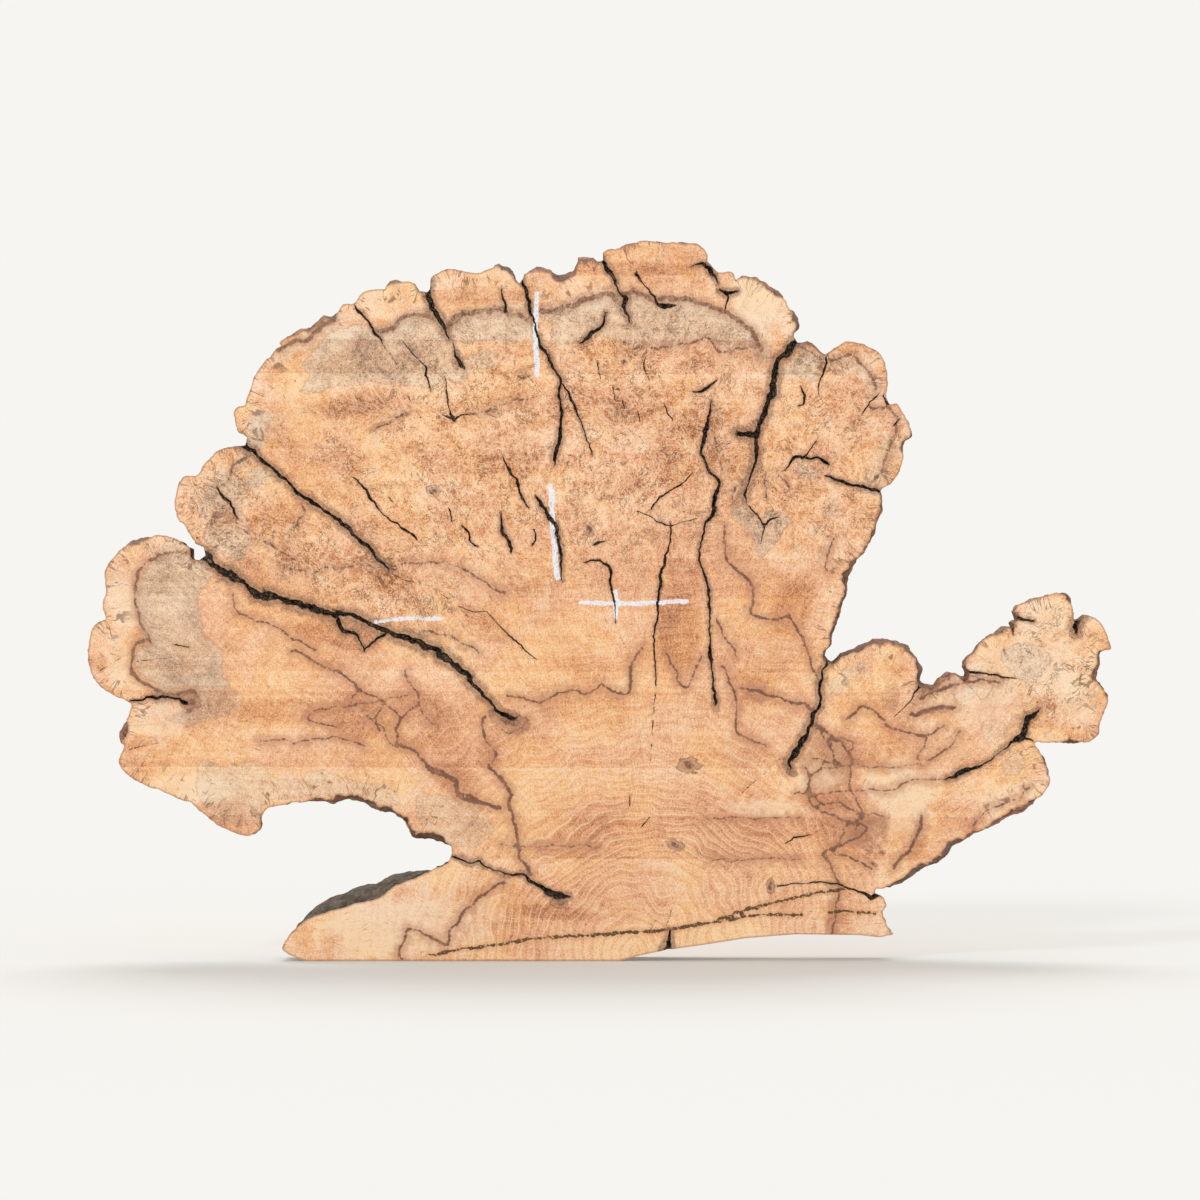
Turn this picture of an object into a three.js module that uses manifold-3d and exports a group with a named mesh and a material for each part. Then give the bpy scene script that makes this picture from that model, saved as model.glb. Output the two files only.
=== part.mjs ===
// Oak burl slab: a thick slice through a fan-shaped burl, with its live edge left on.
// Millimetres, +Z up. The slab stands on its sawn foot, X runs along its width and its front
// sawn face looks towards -Y. The origin is on the floor, under the middle of the slab.
// The outline is 1270 mm (50 in) across its widest lobes and 895 mm high.
import * as THREE from 'three';
import { mergeVertices } from 'three/addons/utils/BufferGeometryUtils.js';
import Module from 'manifold-3d';

// Driving dimensions
const THICKNESS = 76.2;          // 12/4 sawn stock, 3 in
const STEP_LENGTH = 13;          // longest facet along the edge
const CRACK_DEPTH = 24;          // how deep the cracks are, from each sawn face
const CRACK_FLOOR = 0.3;         // width of a crack's floor, as a share of its mouth
const CRACK_LIP = 3;             // how far a crack's cutter stands above the face
const BACK_CRACK_SHARE = 0.8;    // the same cracks are narrower on the back face
const EDGE_WEAR = 5;             // how far the live edge falls back towards each sawn face
const LUMP_LENGTH = 16;          // sets how long the edge's lumps are
const FLARE = 21;                // how far the bark flare over the foot stands out, at the back
const FLARE_FROM = -392;         // the flare's two ends, along X
const FLARE_TO = -205;

// How deep each ring of the live edge lies, from 0 at the front face to 1 at the back.
const LAYERS = [0, 0.2, 0.5, 0.8, 1];

// The outline half way through the slab, clockwise seen from the front, as [x, z, bulge]:
// bulge is how far the arc to the next point stands out from the straight line between them.
const leftShoulder = [
  [-453, 637, 0], [-446, 650, 2], [-455, 680, 2], [-450, 688, 0], [-439, 689, 1],
  [-431, 718, 1], [-418, 746, 3], [-395, 763, -1], [-400, 768, 1], [-383, 779, 1],
  [-370, 786, 0], [-358, 787, 1], [-343, 801, 1], [-329, 801, 1], [-319, 815, 0],
  [-304, 815, -1], [-298, 826, 2], [-278, 833, -1], [-267, 833, -1], [-268, 838, 2],
  [-258, 845, 1], [-228, 840, 0], [-212, 839, 1],
];
const crownTop = [
  [-210, 847, 2], [-195, 857, 2], [-169, 855, -1], [-153, 853, -1], [-131, 862, 0],
  [-127, 867, 1], [-111, 861, 2], [-104, 851, -1], [-96, 850, 1], [-82, 863, 3],
  [-59, 857, 1], [-52, 853, 0], [-34, 855, -1], [-29, 875, 1], [-8, 873, -1],
  [1, 878, 1], [19, 886, 0], [43, 893, 1], [71, 895, 1], [118, 890, 3],
  [135, 874, -1], [132, 868, 0], [144, 856, -1], [148, 852, 1], [161, 856, 1],
  [167, 853, -1], [168, 844, 0], [177, 851, 1], [195, 850, 1], [216, 837, 2],
  [227, 829, 0], [234, 811, 0], [243, 806, 1], [248, 790, 1], [250, 776, -2],
];
const smallRightLobes = [
  [259, 769, 1], [279, 754, -1], [285, 756, 2], [301, 767, 4], [339, 759, 5],
  [357, 728, 2], [355, 702, -1], [359, 689, 1], [369, 693, 2], [378, 677, 1],
  [385, 661, 1], [388, 651, 0], [378, 641, 1], [378, 627, 3], [361, 591, 1],
];
const crownRightSide = [
  [349, 583, -1], [354, 571, 2], [348, 546, 1], [333, 509, 1], [321, 498, 0],
  [313, 481, 0], [300, 434, 1], [289, 402, 1], [288, 382, -1],
];
const armLobe = [
  [299, 382, -1], [330, 396, 3], [370, 398, 2], [391, 383, 2], [401, 362, 1],
  [402, 353, -1], [417, 350, 0], [434, 358, 0], [449, 359, -1], [452, 371, 1],
  [466, 385, 0], [471, 396, 1], [489, 405, 0], [503, 417, 0], [512, 433, 1],
  [518, 442, 1], [559, 455, 1], [575, 459, 2], [588, 443, 1], [594, 432, 0],
];
const armHead = [
  [618, 424, 1], [629, 404, 1], [635, 387, 0], [621, 381, -1], [624, 366, 1],
  [617, 351, -1], [627, 337, 1], [633, 328, 0], [627, 313, 0], [620, 294, 1],
  [619, 279, 1], [598, 268, 1], [579, 271, 0], [561, 271, 0], [538, 270, -2],
];
const lowerRightLobe = [
  [549, 260, 1], [557, 243, 1], [561, 228, 2], [549, 206, 1], [538, 192, 1],
  [511, 178, 1], [481, 162, 1], [466, 156, -1], [451, 146, 0], [439, 143, 1],
  [430, 127, 0], [416, 118, 1], [401, 113, 0], [384, 99, 1], [348, 87, -1],
  [356, 70, 0], [350, 60, -1], [356, 42, -1], [365, 33, 1],
];
const sawnFoot = [
  [349, 29, 0], [321, 32, 0], [241, 33, 0], [180, 28, 0], [129, 20, 0],
  [80, 13, 0], [50, 7, 0], [24, 0, 0], [-80, 0, 0], [-220, 0, 0],
  [-366, 0, 0], [-384, 7, 0],
];
const footTop = [
  [-396, 14, 0], [-390, 26, 0], [-374, 44, 2], [-342, 60, 0], [-300, 72, 0],
  [-276, 77, 0], [-254, 94, 0], [-226, 104, 1], [-206, 115, 0], [-187, 121, -1],
];
const bay = [
  [-184, 138, -1], [-198, 147, -3], [-231, 148, 0], [-243, 170, 0], [-259, 182, -2],
  [-276, 184, 0], [-291, 194, 1], [-314, 199, -2], [-332, 191, -1], [-351, 196, -1],
  [-381, 196, 0], [-413, 189, 2], [-421, 178, 0], [-421, 162, 2], [-437, 154, 1],
];
const lowerLeftLobe = [
  [-470, 165, 0], [-485, 177, 1], [-506, 196, 1], [-545, 211, 1], [-583, 227, 2],
  [-598, 248, 1], [-592, 264, -1], [-600, 272, 1], [-597, 285, 1], [-584, 306, 0],
  [-580, 318, -1], [-590, 325, 3], [-623, 343, 3], [-635, 372, 2], [-629, 414, 3],
  [-611, 424, -1], [-618, 436, 1], [-612, 458, 0], [-615, 481, 3], [-597, 508, 1],
  [-587, 519, 1], [-556, 528, 3], [-521, 521, 1], [-498, 503, -2],
];
const upperLeftLobe = [
  [-503, 521, 1], [-515, 540, 0], [-524, 546, 1], [-528, 564, 1], [-522, 594, 1],
  [-515, 602, 0], [-501, 601, 0], [-491, 615, 1], [-473, 633, 2],
];

// The larger cracks and bark pockets, each a middle line of [x, z, mouth width].
const cracks = {
  left_main: [
    [-503, 512, 10], [-480, 492, 11], [-445, 472, 11], [-400, 449, 9], [-345, 433, 9],
    [-320, 425, 8], [-280, 416, 6], [-243, 402, 7], [-200, 381, 9], [-167, 356, 7],
    [-138, 324, 5], [-106, 298, 4],
  ],
  left_upper: [
    [-460, 650, 10], [-432, 632, 8], [-405, 608, 5], [-350, 564, 5], [-322, 545, 5],
    [-285, 508, 5], [-258, 480, 3],
  ],
  crown_left: [[-222, 848, 12], [-214, 828, 10], [-200, 798, 7], [-186, 772, 4]],
  crown_middle: [
    [-101, 858, 5], [-93, 825, 4], [-84, 800, 5], [-68, 755, 5], [-49, 716, 4],
    [-47, 670, 4], [-56, 618, 4],
  ],
  crown_right: [[-4, 882, 7], [8, 861, 7], [20, 838, 4], [32, 820, 6], [37, 792, 3]],
  right_main: [
    [258, 784, 12], [243, 768, 10], [225, 750, 7], [216, 730, 8], [211, 698, 9],
    [200, 668, 6], [194, 625, 4], [182, 585, 3],
  ],
  centre_right: [
    [134, 678, 4], [127, 640, 4], [130, 615, 4], [148, 590, 4], [141, 560, 6],
    [126, 520, 4], [135, 445, 4], [138, 361, 3],
  ],
  centre_left: [[88, 541, 3], [75, 477, 4], [68, 400, 3], [70, 350, 3]],
  right_edge: [
    [293, 388, 10], [278, 360, 4], [272, 325, 5], [265, 300, 6], [247, 266, 8],
    [235, 236, 4],
  ],
  left_lobe: [[-586, 322, 4], [-558, 326, 5], [-530, 325, 4], [-513, 318, 7]],
  foot: [
    [-192, 130, 4], [-150, 122, 4], [-125, 110, 4], [-88, 102, 4], [-62, 83, 7], [-38, 79, 3],
  ],
  arm_joint: [[548, 320, 4], [532, 302, 7], [522, 279, 9], [500, 262, 4]],
};

// Points along an arc from one outline point to the next, without its last point.
function arcPoints([x1, z1, bulge], [x2, z2]) {
  const chord = Math.hypot(x2 - x1, z2 - z1);
  const steps = Math.max(1, Math.round(chord / STEP_LENGTH));
  const outX = -(z2 - z1) / chord;
  const outZ = (x2 - x1) / chord;
  return Array.from({ length: steps }, (_, step) => {
    const share = step / steps;
    const rise = 4 * bulge * share * (1 - share);
    return new THREE.Vector2(x1 + (x2 - x1) * share + outX * rise, z1 + (z2 - z1) * share + outZ * rise);
  });
}

// The whole outline cut into facets. Each point knows if the saw left it with no live edge,
// and if it lies under the bark flare.
function sampledOutline() {
  const corners = [
    leftShoulder, crownTop, smallRightLobes, crownRightSide, armLobe, armHead, lowerRightLobe,
    sawnFoot, footTop, bay, lowerLeftLobe, upperLeftLobe,
  ].flat();
  return corners.flatMap((corner, index) => {
    const next = corners[(index + 1) % corners.length];
    const isLive = !sawnFoot.includes(corner);
    const isFootTop = footTop.includes(corner);
    return arcPoints(corner, next).map((at) => ({ at, isLive, isFootTop }));
  });
}

// The direction straight out of the edge at a point, taken over two facets each side.
function outwardAt(outline, index) {
  const count = outline.length;
  const before = outline[(index - 2 + count) % count].at;
  const after = outline[(index + 2) % count].at;
  return new THREE.Vector2(-(after.y - before.y), after.x - before.x).normalize();
}

// How far the live edge stands out from the outline, which it meets half way through the slab.
function edgeOffset({ at, isLive, isFootTop }, depth) {
  if (!isLive) {
    return 0;
  }
  const fromMiddle = 2 * depth - 1;
  if (isFootTop && fromMiddle > 0) {
    const along = THREE.MathUtils.clamp((at.x - FLARE_FROM) / (FLARE_TO - FLARE_FROM), 0, 1);
    return FLARE * Math.sin(along * Math.PI) * Math.sqrt(fromMiddle);
  }
  const lumps = 0.5 + 0.5 * Math.sin(at.x / LUMP_LENGTH + fromMiddle) * Math.cos(at.y / LUMP_LENGTH);
  return -EDGE_WEAR * lumps * Math.abs(fromMiddle);
}

// The slab's solid: rings of the outline from the front face to the back, closed by two caps.
function slabGeometry() {
  const outline = sampledOutline();
  const count = outline.length;
  const rings = LAYERS.map((depth) => outline.map((edge, index) => {
    const offset = edgeOffset(edge, depth);
    const outward = outwardAt(outline, index);
    const x = edge.at.x + outward.x * offset;
    const z = edge.at.y + outward.y * offset;
    return new THREE.Vector3(x, (depth - 0.5) * THICKNESS, z);
  }));
  const positions = rings.flat().flatMap((point) => point.toArray());
  const faces = [];
  for (let layer = 0; layer < LAYERS.length - 1; layer += 1) {
    for (let index = 0; index < count; index += 1) {
      const next = (index + 1) % count;
      const near = layer * count;
      const far = near + count;
      faces.push(near + index, near + next, far + index);
      faces.push(near + next, far + next, far + index);
    }
  }
  const capFaces = (ring) => {
    const contour = ring.map((point) => new THREE.Vector2(point.x, point.z));
    return THREE.ShapeUtils.triangulateShape(contour, []);
  };
  const last = (LAYERS.length - 1) * count;
  capFaces(rings[0]).forEach(([a, b, c]) => faces.push(a, b, c));
  capFaces(rings.at(-1)).forEach(([a, b, c]) => faces.push(last + a, last + c, last + b));
  const geometry = new THREE.BufferGeometry();
  geometry.setAttribute('position', new THREE.Float32BufferAttribute(positions, 3));
  geometry.setIndex(faces);
  return geometry;
}

// A cutter for one crack: a wedge along its middle line, wide at the face and narrow inside.
// side is -1 for the front face and 1 for the back.
function crackGeometry(points, side, share) {
  const face = side * THICKNESS / 2;
  const mouthY = face + side * CRACK_LIP;
  const floorY = face - side * CRACK_DEPTH;
  const positions = [];
  points.forEach(([x, z, width], index) => {
    const [fromX, fromZ] = points[Math.max(0, index - 1)];
    const [toX, toZ] = points[Math.min(points.length - 1, index + 1)];
    const length = Math.hypot(toX - fromX, toZ - fromZ);
    const acrossX = -(toZ - fromZ) / length;
    const acrossZ = (toX - fromX) / length;
    const mouth = share * width / 2;
    const floor = mouth * CRACK_FLOOR;
    for (const [half, y] of [[mouth, mouthY], [-mouth, mouthY], [-floor, floorY], [floor, floorY]]) {
      positions.push(x + acrossX * half, y, z + acrossZ * half);
    }
  });
  const faces = [0, 1, 2, 0, 2, 3];
  for (let index = 0; index < points.length - 1; index += 1) {
    for (let corner = 0; corner < 4; corner += 1) {
      const a = index * 4 + corner;
      const b = index * 4 + (corner + 1) % 4;
      faces.push(a, a + 4, b, b, a + 4, b + 4);
    }
  }
  const end = (points.length - 1) * 4;
  faces.push(end, end + 2, end + 1, end, end + 3, end + 2);
  if (side < 0) {
    faces.reverse();
  }
  const geometry = new THREE.BufferGeometry();
  geometry.setAttribute('position', new THREE.Float32BufferAttribute(positions, 3));
  geometry.setIndex(faces);
  return geometry;
}

const wasm = await Module();
wasm.setup();

function toManifold(geometry) {
  const merged = mergeVertices(geometry);
  return new wasm.Manifold(new wasm.Mesh({
    numProp: 3,
    vertProperties: Float32Array.from(merged.attributes.position.array),
    triVerts: Uint32Array.from(merged.index.array),
  }));
}

function toGeometry(solid) {
  const mesh = solid.getMesh();
  const geometry = new THREE.BufferGeometry();
  geometry.setAttribute('position', new THREE.Float32BufferAttribute(mesh.vertProperties, 3));
  geometry.setIndex(Array.from(mesh.triVerts));
  geometry.computeVertexNormals();
  return geometry;
}

function burlSlab() {
  let solid = toManifold(slabGeometry());
  for (const points of Object.values(cracks)) {
    solid = solid.subtract(toManifold(crackGeometry(points, -1, 1)));
    solid = solid.subtract(toManifold(crackGeometry(points, 1, BACK_CRACK_SHARE)));
  }
  const oak = new THREE.MeshStandardMaterial({ color: 0xd5a476, roughness: 0.78, metalness: 0 });
  const mesh = new THREE.Mesh(toGeometry(solid), oak);
  mesh.name = 'burl_slab';
  return mesh;
}

const burl = new THREE.Group();
burl.add(burlSlab());

export default burl;
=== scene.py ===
"""Oak burl slab: the looks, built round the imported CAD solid. Lengths here are in millimetres."""
import math

import bmesh
import bpy
import numpy as np
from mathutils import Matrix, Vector, noise
from mathutils.geometry import delaunay_2d_cdt


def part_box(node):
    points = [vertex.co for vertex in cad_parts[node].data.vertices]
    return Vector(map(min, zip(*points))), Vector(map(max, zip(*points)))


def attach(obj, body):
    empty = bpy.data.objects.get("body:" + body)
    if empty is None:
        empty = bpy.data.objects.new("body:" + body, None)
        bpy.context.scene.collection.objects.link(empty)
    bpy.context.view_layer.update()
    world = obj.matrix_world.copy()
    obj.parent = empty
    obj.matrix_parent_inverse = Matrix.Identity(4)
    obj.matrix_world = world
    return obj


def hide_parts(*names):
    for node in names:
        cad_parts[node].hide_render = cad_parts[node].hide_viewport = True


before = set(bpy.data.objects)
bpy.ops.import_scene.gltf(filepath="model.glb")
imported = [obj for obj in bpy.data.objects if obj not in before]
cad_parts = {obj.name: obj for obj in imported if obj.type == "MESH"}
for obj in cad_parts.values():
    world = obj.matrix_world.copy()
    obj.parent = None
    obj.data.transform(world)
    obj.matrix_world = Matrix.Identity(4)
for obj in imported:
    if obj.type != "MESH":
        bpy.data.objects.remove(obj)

SEED = 20
MM = 0.001
NODE = "burl_slab"
cad_low, cad_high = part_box(NODE)
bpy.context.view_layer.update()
FRONT = cad_low.y / MM
BACK = cad_high.y / MM

# How fine the mesh and the measuring are
EDGE_STEP = 3.2
EDGE_ROWS = 11
FRONT_SPACING = 5.0
BACK_SPACING = 8.5
SPREAD = 0.22  # how far a loose point strays, as a share of the spacing
ROW_RISE = 0.866  # between rows of points that make even triangles
CRACK_STEP = 3.0
LINE_STEP = 3.5
FINE_STEP = 1.0
CLEAR_OF_EDGE = 1.5
CLEAR_OF_LINES = 1.9
CHUNK = 50  # path samples measured at a time
SHARP_ANGLE = 38.0  # degrees, above which an edge is shaded as sharp
WELD = 1e-6  # in metres, as close as points of the CAD mesh are one
OFF_MIDDLE = 1e-4  # in metres, to cut the CAD mesh clear of its own points

# Rough things, each as layers of (wavelength, height)
EDGE_WOBBLE = ((13.0, 1.4), (5.0, 0.9))
BARK_RELIEF = ((26.0, 3.2), (11.0, 2.0), (5.0, 1.3))
RIM_SWELL = ((12.0, 0.8), (5.0, 0.6))
MARK_WAVER = ((22.0, 4.0), (8.0, 2.0), (4.3, 1.8))
CRACK_WANDER = ((14.0, 2.4), (5.5, 1.8))
CRACK_SWELL = ((15.0, 0.8), (6.0, 0.5))

# The live edge. A crack that starts near it and is wide enough draws it in at its mouth.
MOUTH_DEPTH = 9.0
MOUTH_NEAR = 8.0
MOUTH_WIDTH = 3.0
MOUTH_SHARE = 0.8  # of the crack's width, how far its mouth reaches along the edge
THIN_SHARE = 0.3  # of a thin part's width, the most that wear takes from a side
CHIP_DEPTH = 0.9
WORN_BACK = (1.0, 6.0)  # how far the back's edge is worn in, least and added
BARK_SINK = 1.5  # how far the bark lies inside the outline
ROUND_OFF = 0.08  # share of the thickness over which the relief dies away
# The outline is sawn at the foot: below its top, between its ends and where it faces down
FOOT_TOP = 42.0
FOOT_ENDS = (-385.0, 352.0)
FACING_DOWN = -0.8
# The bark over the foot stands out at the back, most half way between these ends and below its top
FLARE = 20.0
FLARE_ENDS = (-392.0, -205.0)
FLARE_TOP = 126.0

# Marks, with their share of the listed width and of the wavering, and how far they stray at the back
ZONE_SHARE = 0.6
SEAM_SHARE = 0.8
SEAM_WAVER = 0.2
BACK_CRACK_SHARE = 0.8
BACK_DRIFT = 14.0
DRIFT_LENGTH = 130.0

# Cracks, each [x, z, width] along its middle. Those under GROOVE_WIDTH are only drawn.
GROOVE_WIDTH = 1.6
CRACK_DEPTH = 15.0
FULL_DEPTH_WIDTH = 7.0
LEAST_DEPTH = 0.12
JAG = 0.18
SWELL_MEAN = 0.95
SWELL_LIMITS = (0.35, 1.6)
FLOOR_EDGE = 0.93  # share of the half width where a crack's wall begins
WALL_WIDTH = 0.35  # share of the half width that the wall takes
WALL_DEPTH = 0.8  # share of the depth that the wall takes
INNER_RIM = 0.55  # where a wide crack's mesh has a second pair of edges
CRACKS = [
    # left lobes
    [(-499, 508, 10), (-470, 485, 10), (-455, 478, 11), (-434, 462, 11), (-420, 455, 10), (-380, 445, 8),
     (-328, 427, 10), (-308, 429, 5), (-260, 406, 6), (-243, 402, 7), (-208, 388, 9), (-167, 356, 7),
     (-158, 342, 5), (-146, 333, 4), (-132, 315, 4), (-121, 305, 7), (-108, 299, 5)],
    [(-325, 420, 6), (-318, 412, 6), (-299, 402, 3), (-292, 385, 2)], [(-267, 406, 4), (-291, 386, 2.5)],
    [(-450, 645, 9), (-430, 632, 8), (-424, 624, 4), (-385, 593, 4.5), (-378, 583, 5), (-322, 545, 5),
     (-275, 500, 5), (-262, 485, 2)],
    [(-262, 482, 1.3), (-240, 471, 1.5), (-210, 465, 1), (-185, 447, 0.8)],
    [(-582, 322, 3), (-558, 326, 4.5), (-532, 326, 3), (-522, 325, 4), (-516, 320, 7), (-512, 318, 3)],
    [(-475, 587, 2), (-463, 572, 4), (-450, 550, 2)],
    # crown, from the left
    [(-304, 812, 2), (-298, 805, 4), (-290, 795, 2.5), (-278, 778, 4), (-272, 769, 2)],
    [(-270, 765, 1.2), (-250, 738, 1)], [(-219, 842, 11), (-209, 818, 7), (-205, 808, 8), (-187, 773, 2)],
    [(-182, 765, 1.2), (-180, 755, 1.5), (-178, 748, 4), (-173, 741, 5), (-168, 735, 3)],
    [(-245, 768, 1), (-217, 737, 2), (-215, 727, 3), (-210, 706, 1)],
    [(-191, 722, 1.5), (-188, 688, 2), (-186, 678, 3), (-181, 671, 4)],
    [(-195, 676, 1.5), (-181, 671, 3), (-172, 678, 2), (-162, 677, 1)],
    [(-238, 700, 1.2), (-222, 674, 1.2)],
    [(-307, 600, 1), (-298, 594, 2.5), (-285, 573, 3.5), (-270, 555, 1.5), (-232, 528, 4), (-227, 522, 2)],
    [(-100, 852, 4), (-84, 800, 5), (-82, 793, 3), (-78, 780, 3), (-74, 765, 5), (-60, 742, 4),
     (-49, 716, 3.5), (-51, 708, 3), (-47, 680, 4), (-48, 665, 4.5), (-56, 622, 5), (-56, 615, 2)],
    [(-48, 716, 2), (-39, 706, 3), (-27, 678, 3), (-22, 665, 1.5), (-11, 632, 3), (-10, 626, 1)],
    [(-12, 612, 1.5), (-7, 600, 1.5)],
    [(-2, 876, 7), (6, 864, 5), (12, 855, 7), (22, 835, 2), (26, 825, 2.5), (32, 821, 7), (30, 812, 4),
     (37, 792, 2)],
    [(45, 851, 4), (52, 842, 1.5), (72, 815, 3), (80, 812, 7), (93, 813, 2)],
    [(6, 803, 2), (5, 793, 4), (0, 785, 5), (-10, 777, 5.5), (-25, 767, 2)],
    [(114, 861, 1), (122, 866, 3), (130, 863, 4), (138, 856, 8), (145, 842, 2)],
    [(150, 833, 3), (156, 828, 7), (168, 831, 3)], [(159, 826, 3), (155, 806, 1.5)],
    [(253, 778, 12), (219, 742, 6), (214, 708, 10), (200, 668, 5), (195, 657, 6), (193, 642, 5),
     (195, 622, 4), (183, 588, 2), (180, 578, 4), (181, 572, 2)],
    [(192, 653, 7), (182, 652, 8), (172, 653, 5)],
    [(185, 563, 1.5), (204, 541, 3), (212, 548, 3), (219, 550, 1.5)], [(204, 541, 3), (200, 520, 1)],
    [(281, 754, 3), (280, 735, 3), (272, 718, 1.5), (271, 702, 1.2)],
    [(249, 712, 2), (255, 700, 3), (252, 690, 3), (246, 688, 2)], [(344, 702, 2), (326, 681, 2)],
    [(371, 670, 2), (364, 664, 1.5)], [(228, 608, 1.5), (243, 625, 5), (252, 624, 3), (268, 644, 1)],
    [(256, 624, 3), (262, 622, 3), (272, 625, 5), (278, 620, 7), (284, 617, 3)],
    [(280, 601, 3), (312, 590, 4), (346, 584, 4)],
    # middle
    [(138, 695, 1), (132, 662, 6), (125, 628, 2.5), (136, 608, 4), (149, 592, 4), (143, 582, 6),
     (143, 565, 6), (139, 552, 5), (132, 544, 4), (123, 510, 2.5), (124, 494, 3), (135, 461, 3.5),
     (136, 394, 2), (136, 378, 6), (139, 361, 2), (143, 320, 4)],
    [(88, 541, 2), (86, 518, 2), (75, 477, 4), (70, 420, 2.5), (66, 406, 3), (70, 342, 1.5)],
    [(46, 557, 1.2), (61, 552, 1.5), (70, 545, 1.8), (87, 540, 2), (120, 548, 1.2)],
    [(63, 560, 1.5), (70, 570, 2.5), (83, 581, 2.5), (107, 595, 2), (114, 605, 1.2)],
    [(-120, 625, 2), (-103, 592, 4), (-90, 563, 2)],
    [(-77, 575, 5), (-54, 537, 5), (-47, 495, 3), (-47, 472, 1.5)],
    [(-18, 494, 2), (-4, 496, 3), (10, 491, 4), (19, 434, 2), (19, 420, 1.2)],
    [(-170, 540, 2), (-163, 532, 3), (-158, 518, 3), (-152, 514, 2)],
    [(-122, 554, 2), (-121, 529, 4), (-112, 518, 5), (-109, 508, 3)],
    [(-83, 534, 3), (-79, 530, 3), (-79, 522, 3), (-83, 516, 2)], [(-8, 516, 2), (-2, 519, 4), (4, 520, 2)],
    [(-3, 741, 2), (0, 722, 1.5)], [(57, 748, 1.5), (54, 742, 2), (57, 728, 1.2)],
    [(19, 720, 1.5), (25, 705, 1.5)], [(61, 722, 1.5), (61, 702, 1.2)], [(28, 697, 1.5), (30, 685, 1.5)],
    [(-262, 575, 1.5), (-250, 561, 1.2)], [(-187, 560, 2), (-184, 545, 1.5)],
    [(-122, 832, 1.5), (-117, 807, 4)],
    # right
    [(288, 381, 9), (278, 362, 2.5), (271, 335, 5), (274, 325, 4), (273, 317, 5), (266, 307, 5),
     (257, 282, 5), (250, 275, 8), (240, 255, 8), (234, 247, 5), (236, 240, 4), (236, 236, 1)],
    [(545, 312, 1), (540, 305, 5), (532, 300, 8), (520, 275, 9), (512, 271, 4), (495, 258, 1.5),
     (475, 243, 2), (455, 236, 6), (438, 228, 5), (430, 226, 2)],
    [(522, 276, 5), (537, 273, 2)], [(410, 351, 13), (404, 346, 12), (397, 340, 5)],
    [(397, 340, 3), (378, 315, 1.5), (365, 303, 1)], [(449, 356, 4), (475, 357, 3), (515, 350, 1.5)],
    [(597, 431, 7), (592, 422, 9), (590, 412, 8), (591, 407, 4)], [(508, 427, 5), (538, 421, 2)],
    [(508, 419, 4), (512, 405, 2)],
    [(347, 82, 4), (336, 77, 5), (325, 85, 2.5), (300, 94, 2.5), (270, 98, 2), (220, 93, 2)],
    # foot
    [(-184, 129, 3), (-160, 122, 2), (-150, 124, 3), (-145, 118, 2), (-115, 107, 2.5), (-95, 107, 3),
     (-84, 96, 4), (-75, 94, 6), (-62, 82, 10), (-55, 83, 12), (-47, 79, 6), (-38, 79, 3)],
    [(68, 330, 1.6), (67, 308, 1.2)], [(66, 296, 1.6), (65, 282, 1.2)], [(64, 268, 1.4), (62, 246, 1)],
    [(-175, 439, 1), (-156, 432, 1.4), (-141, 434, 1.2), (-118, 408, 1.6), (-104, 397, 2.5), (-94, 385, 3),
     (-80, 375, 1.6)],
    [(352, 701, 2), (355, 690, 3.5)], [(16, 711, 1.6), (18, 697, 1.4)], [(47, 680, 1.8), (49, 670, 1.5)],
    [(80, 688, 1.8), (90, 670, 1.6)], [(86, 36, 3), (85, 15, 9)], [(52, 168, 2), (61, 178, 1.6)],
    [(37, 205, 1.4), (37, 190, 1)], [(145, 720, 1.6), (128, 706, 4), (116, 705, 2)],
    [(230, 146, 1.6), (240, 153, 2.5), (262, 156, 1)], [(-527, 392, 1.8), (-512, 389, 1.4)],
    [(82, 44, 1.2), (89, 62, 1)], [(64, 40, 1.2), (70, 53, 1)], [(176, 208, 1), (228, 254, 1)],
    # checks across the edges of the left lobes
    [(-608, 497, 1), (-575, 480, 0.8)], [(-605, 470, 1), (-580, 465, 0.8)],
    [(-620, 360, 1), (-590, 378, 0.8)], [(-575, 371, 1), (-525, 377, 0.8)],
    [(-585, 262, 1), (-550, 270, 0.8)],
]

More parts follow.
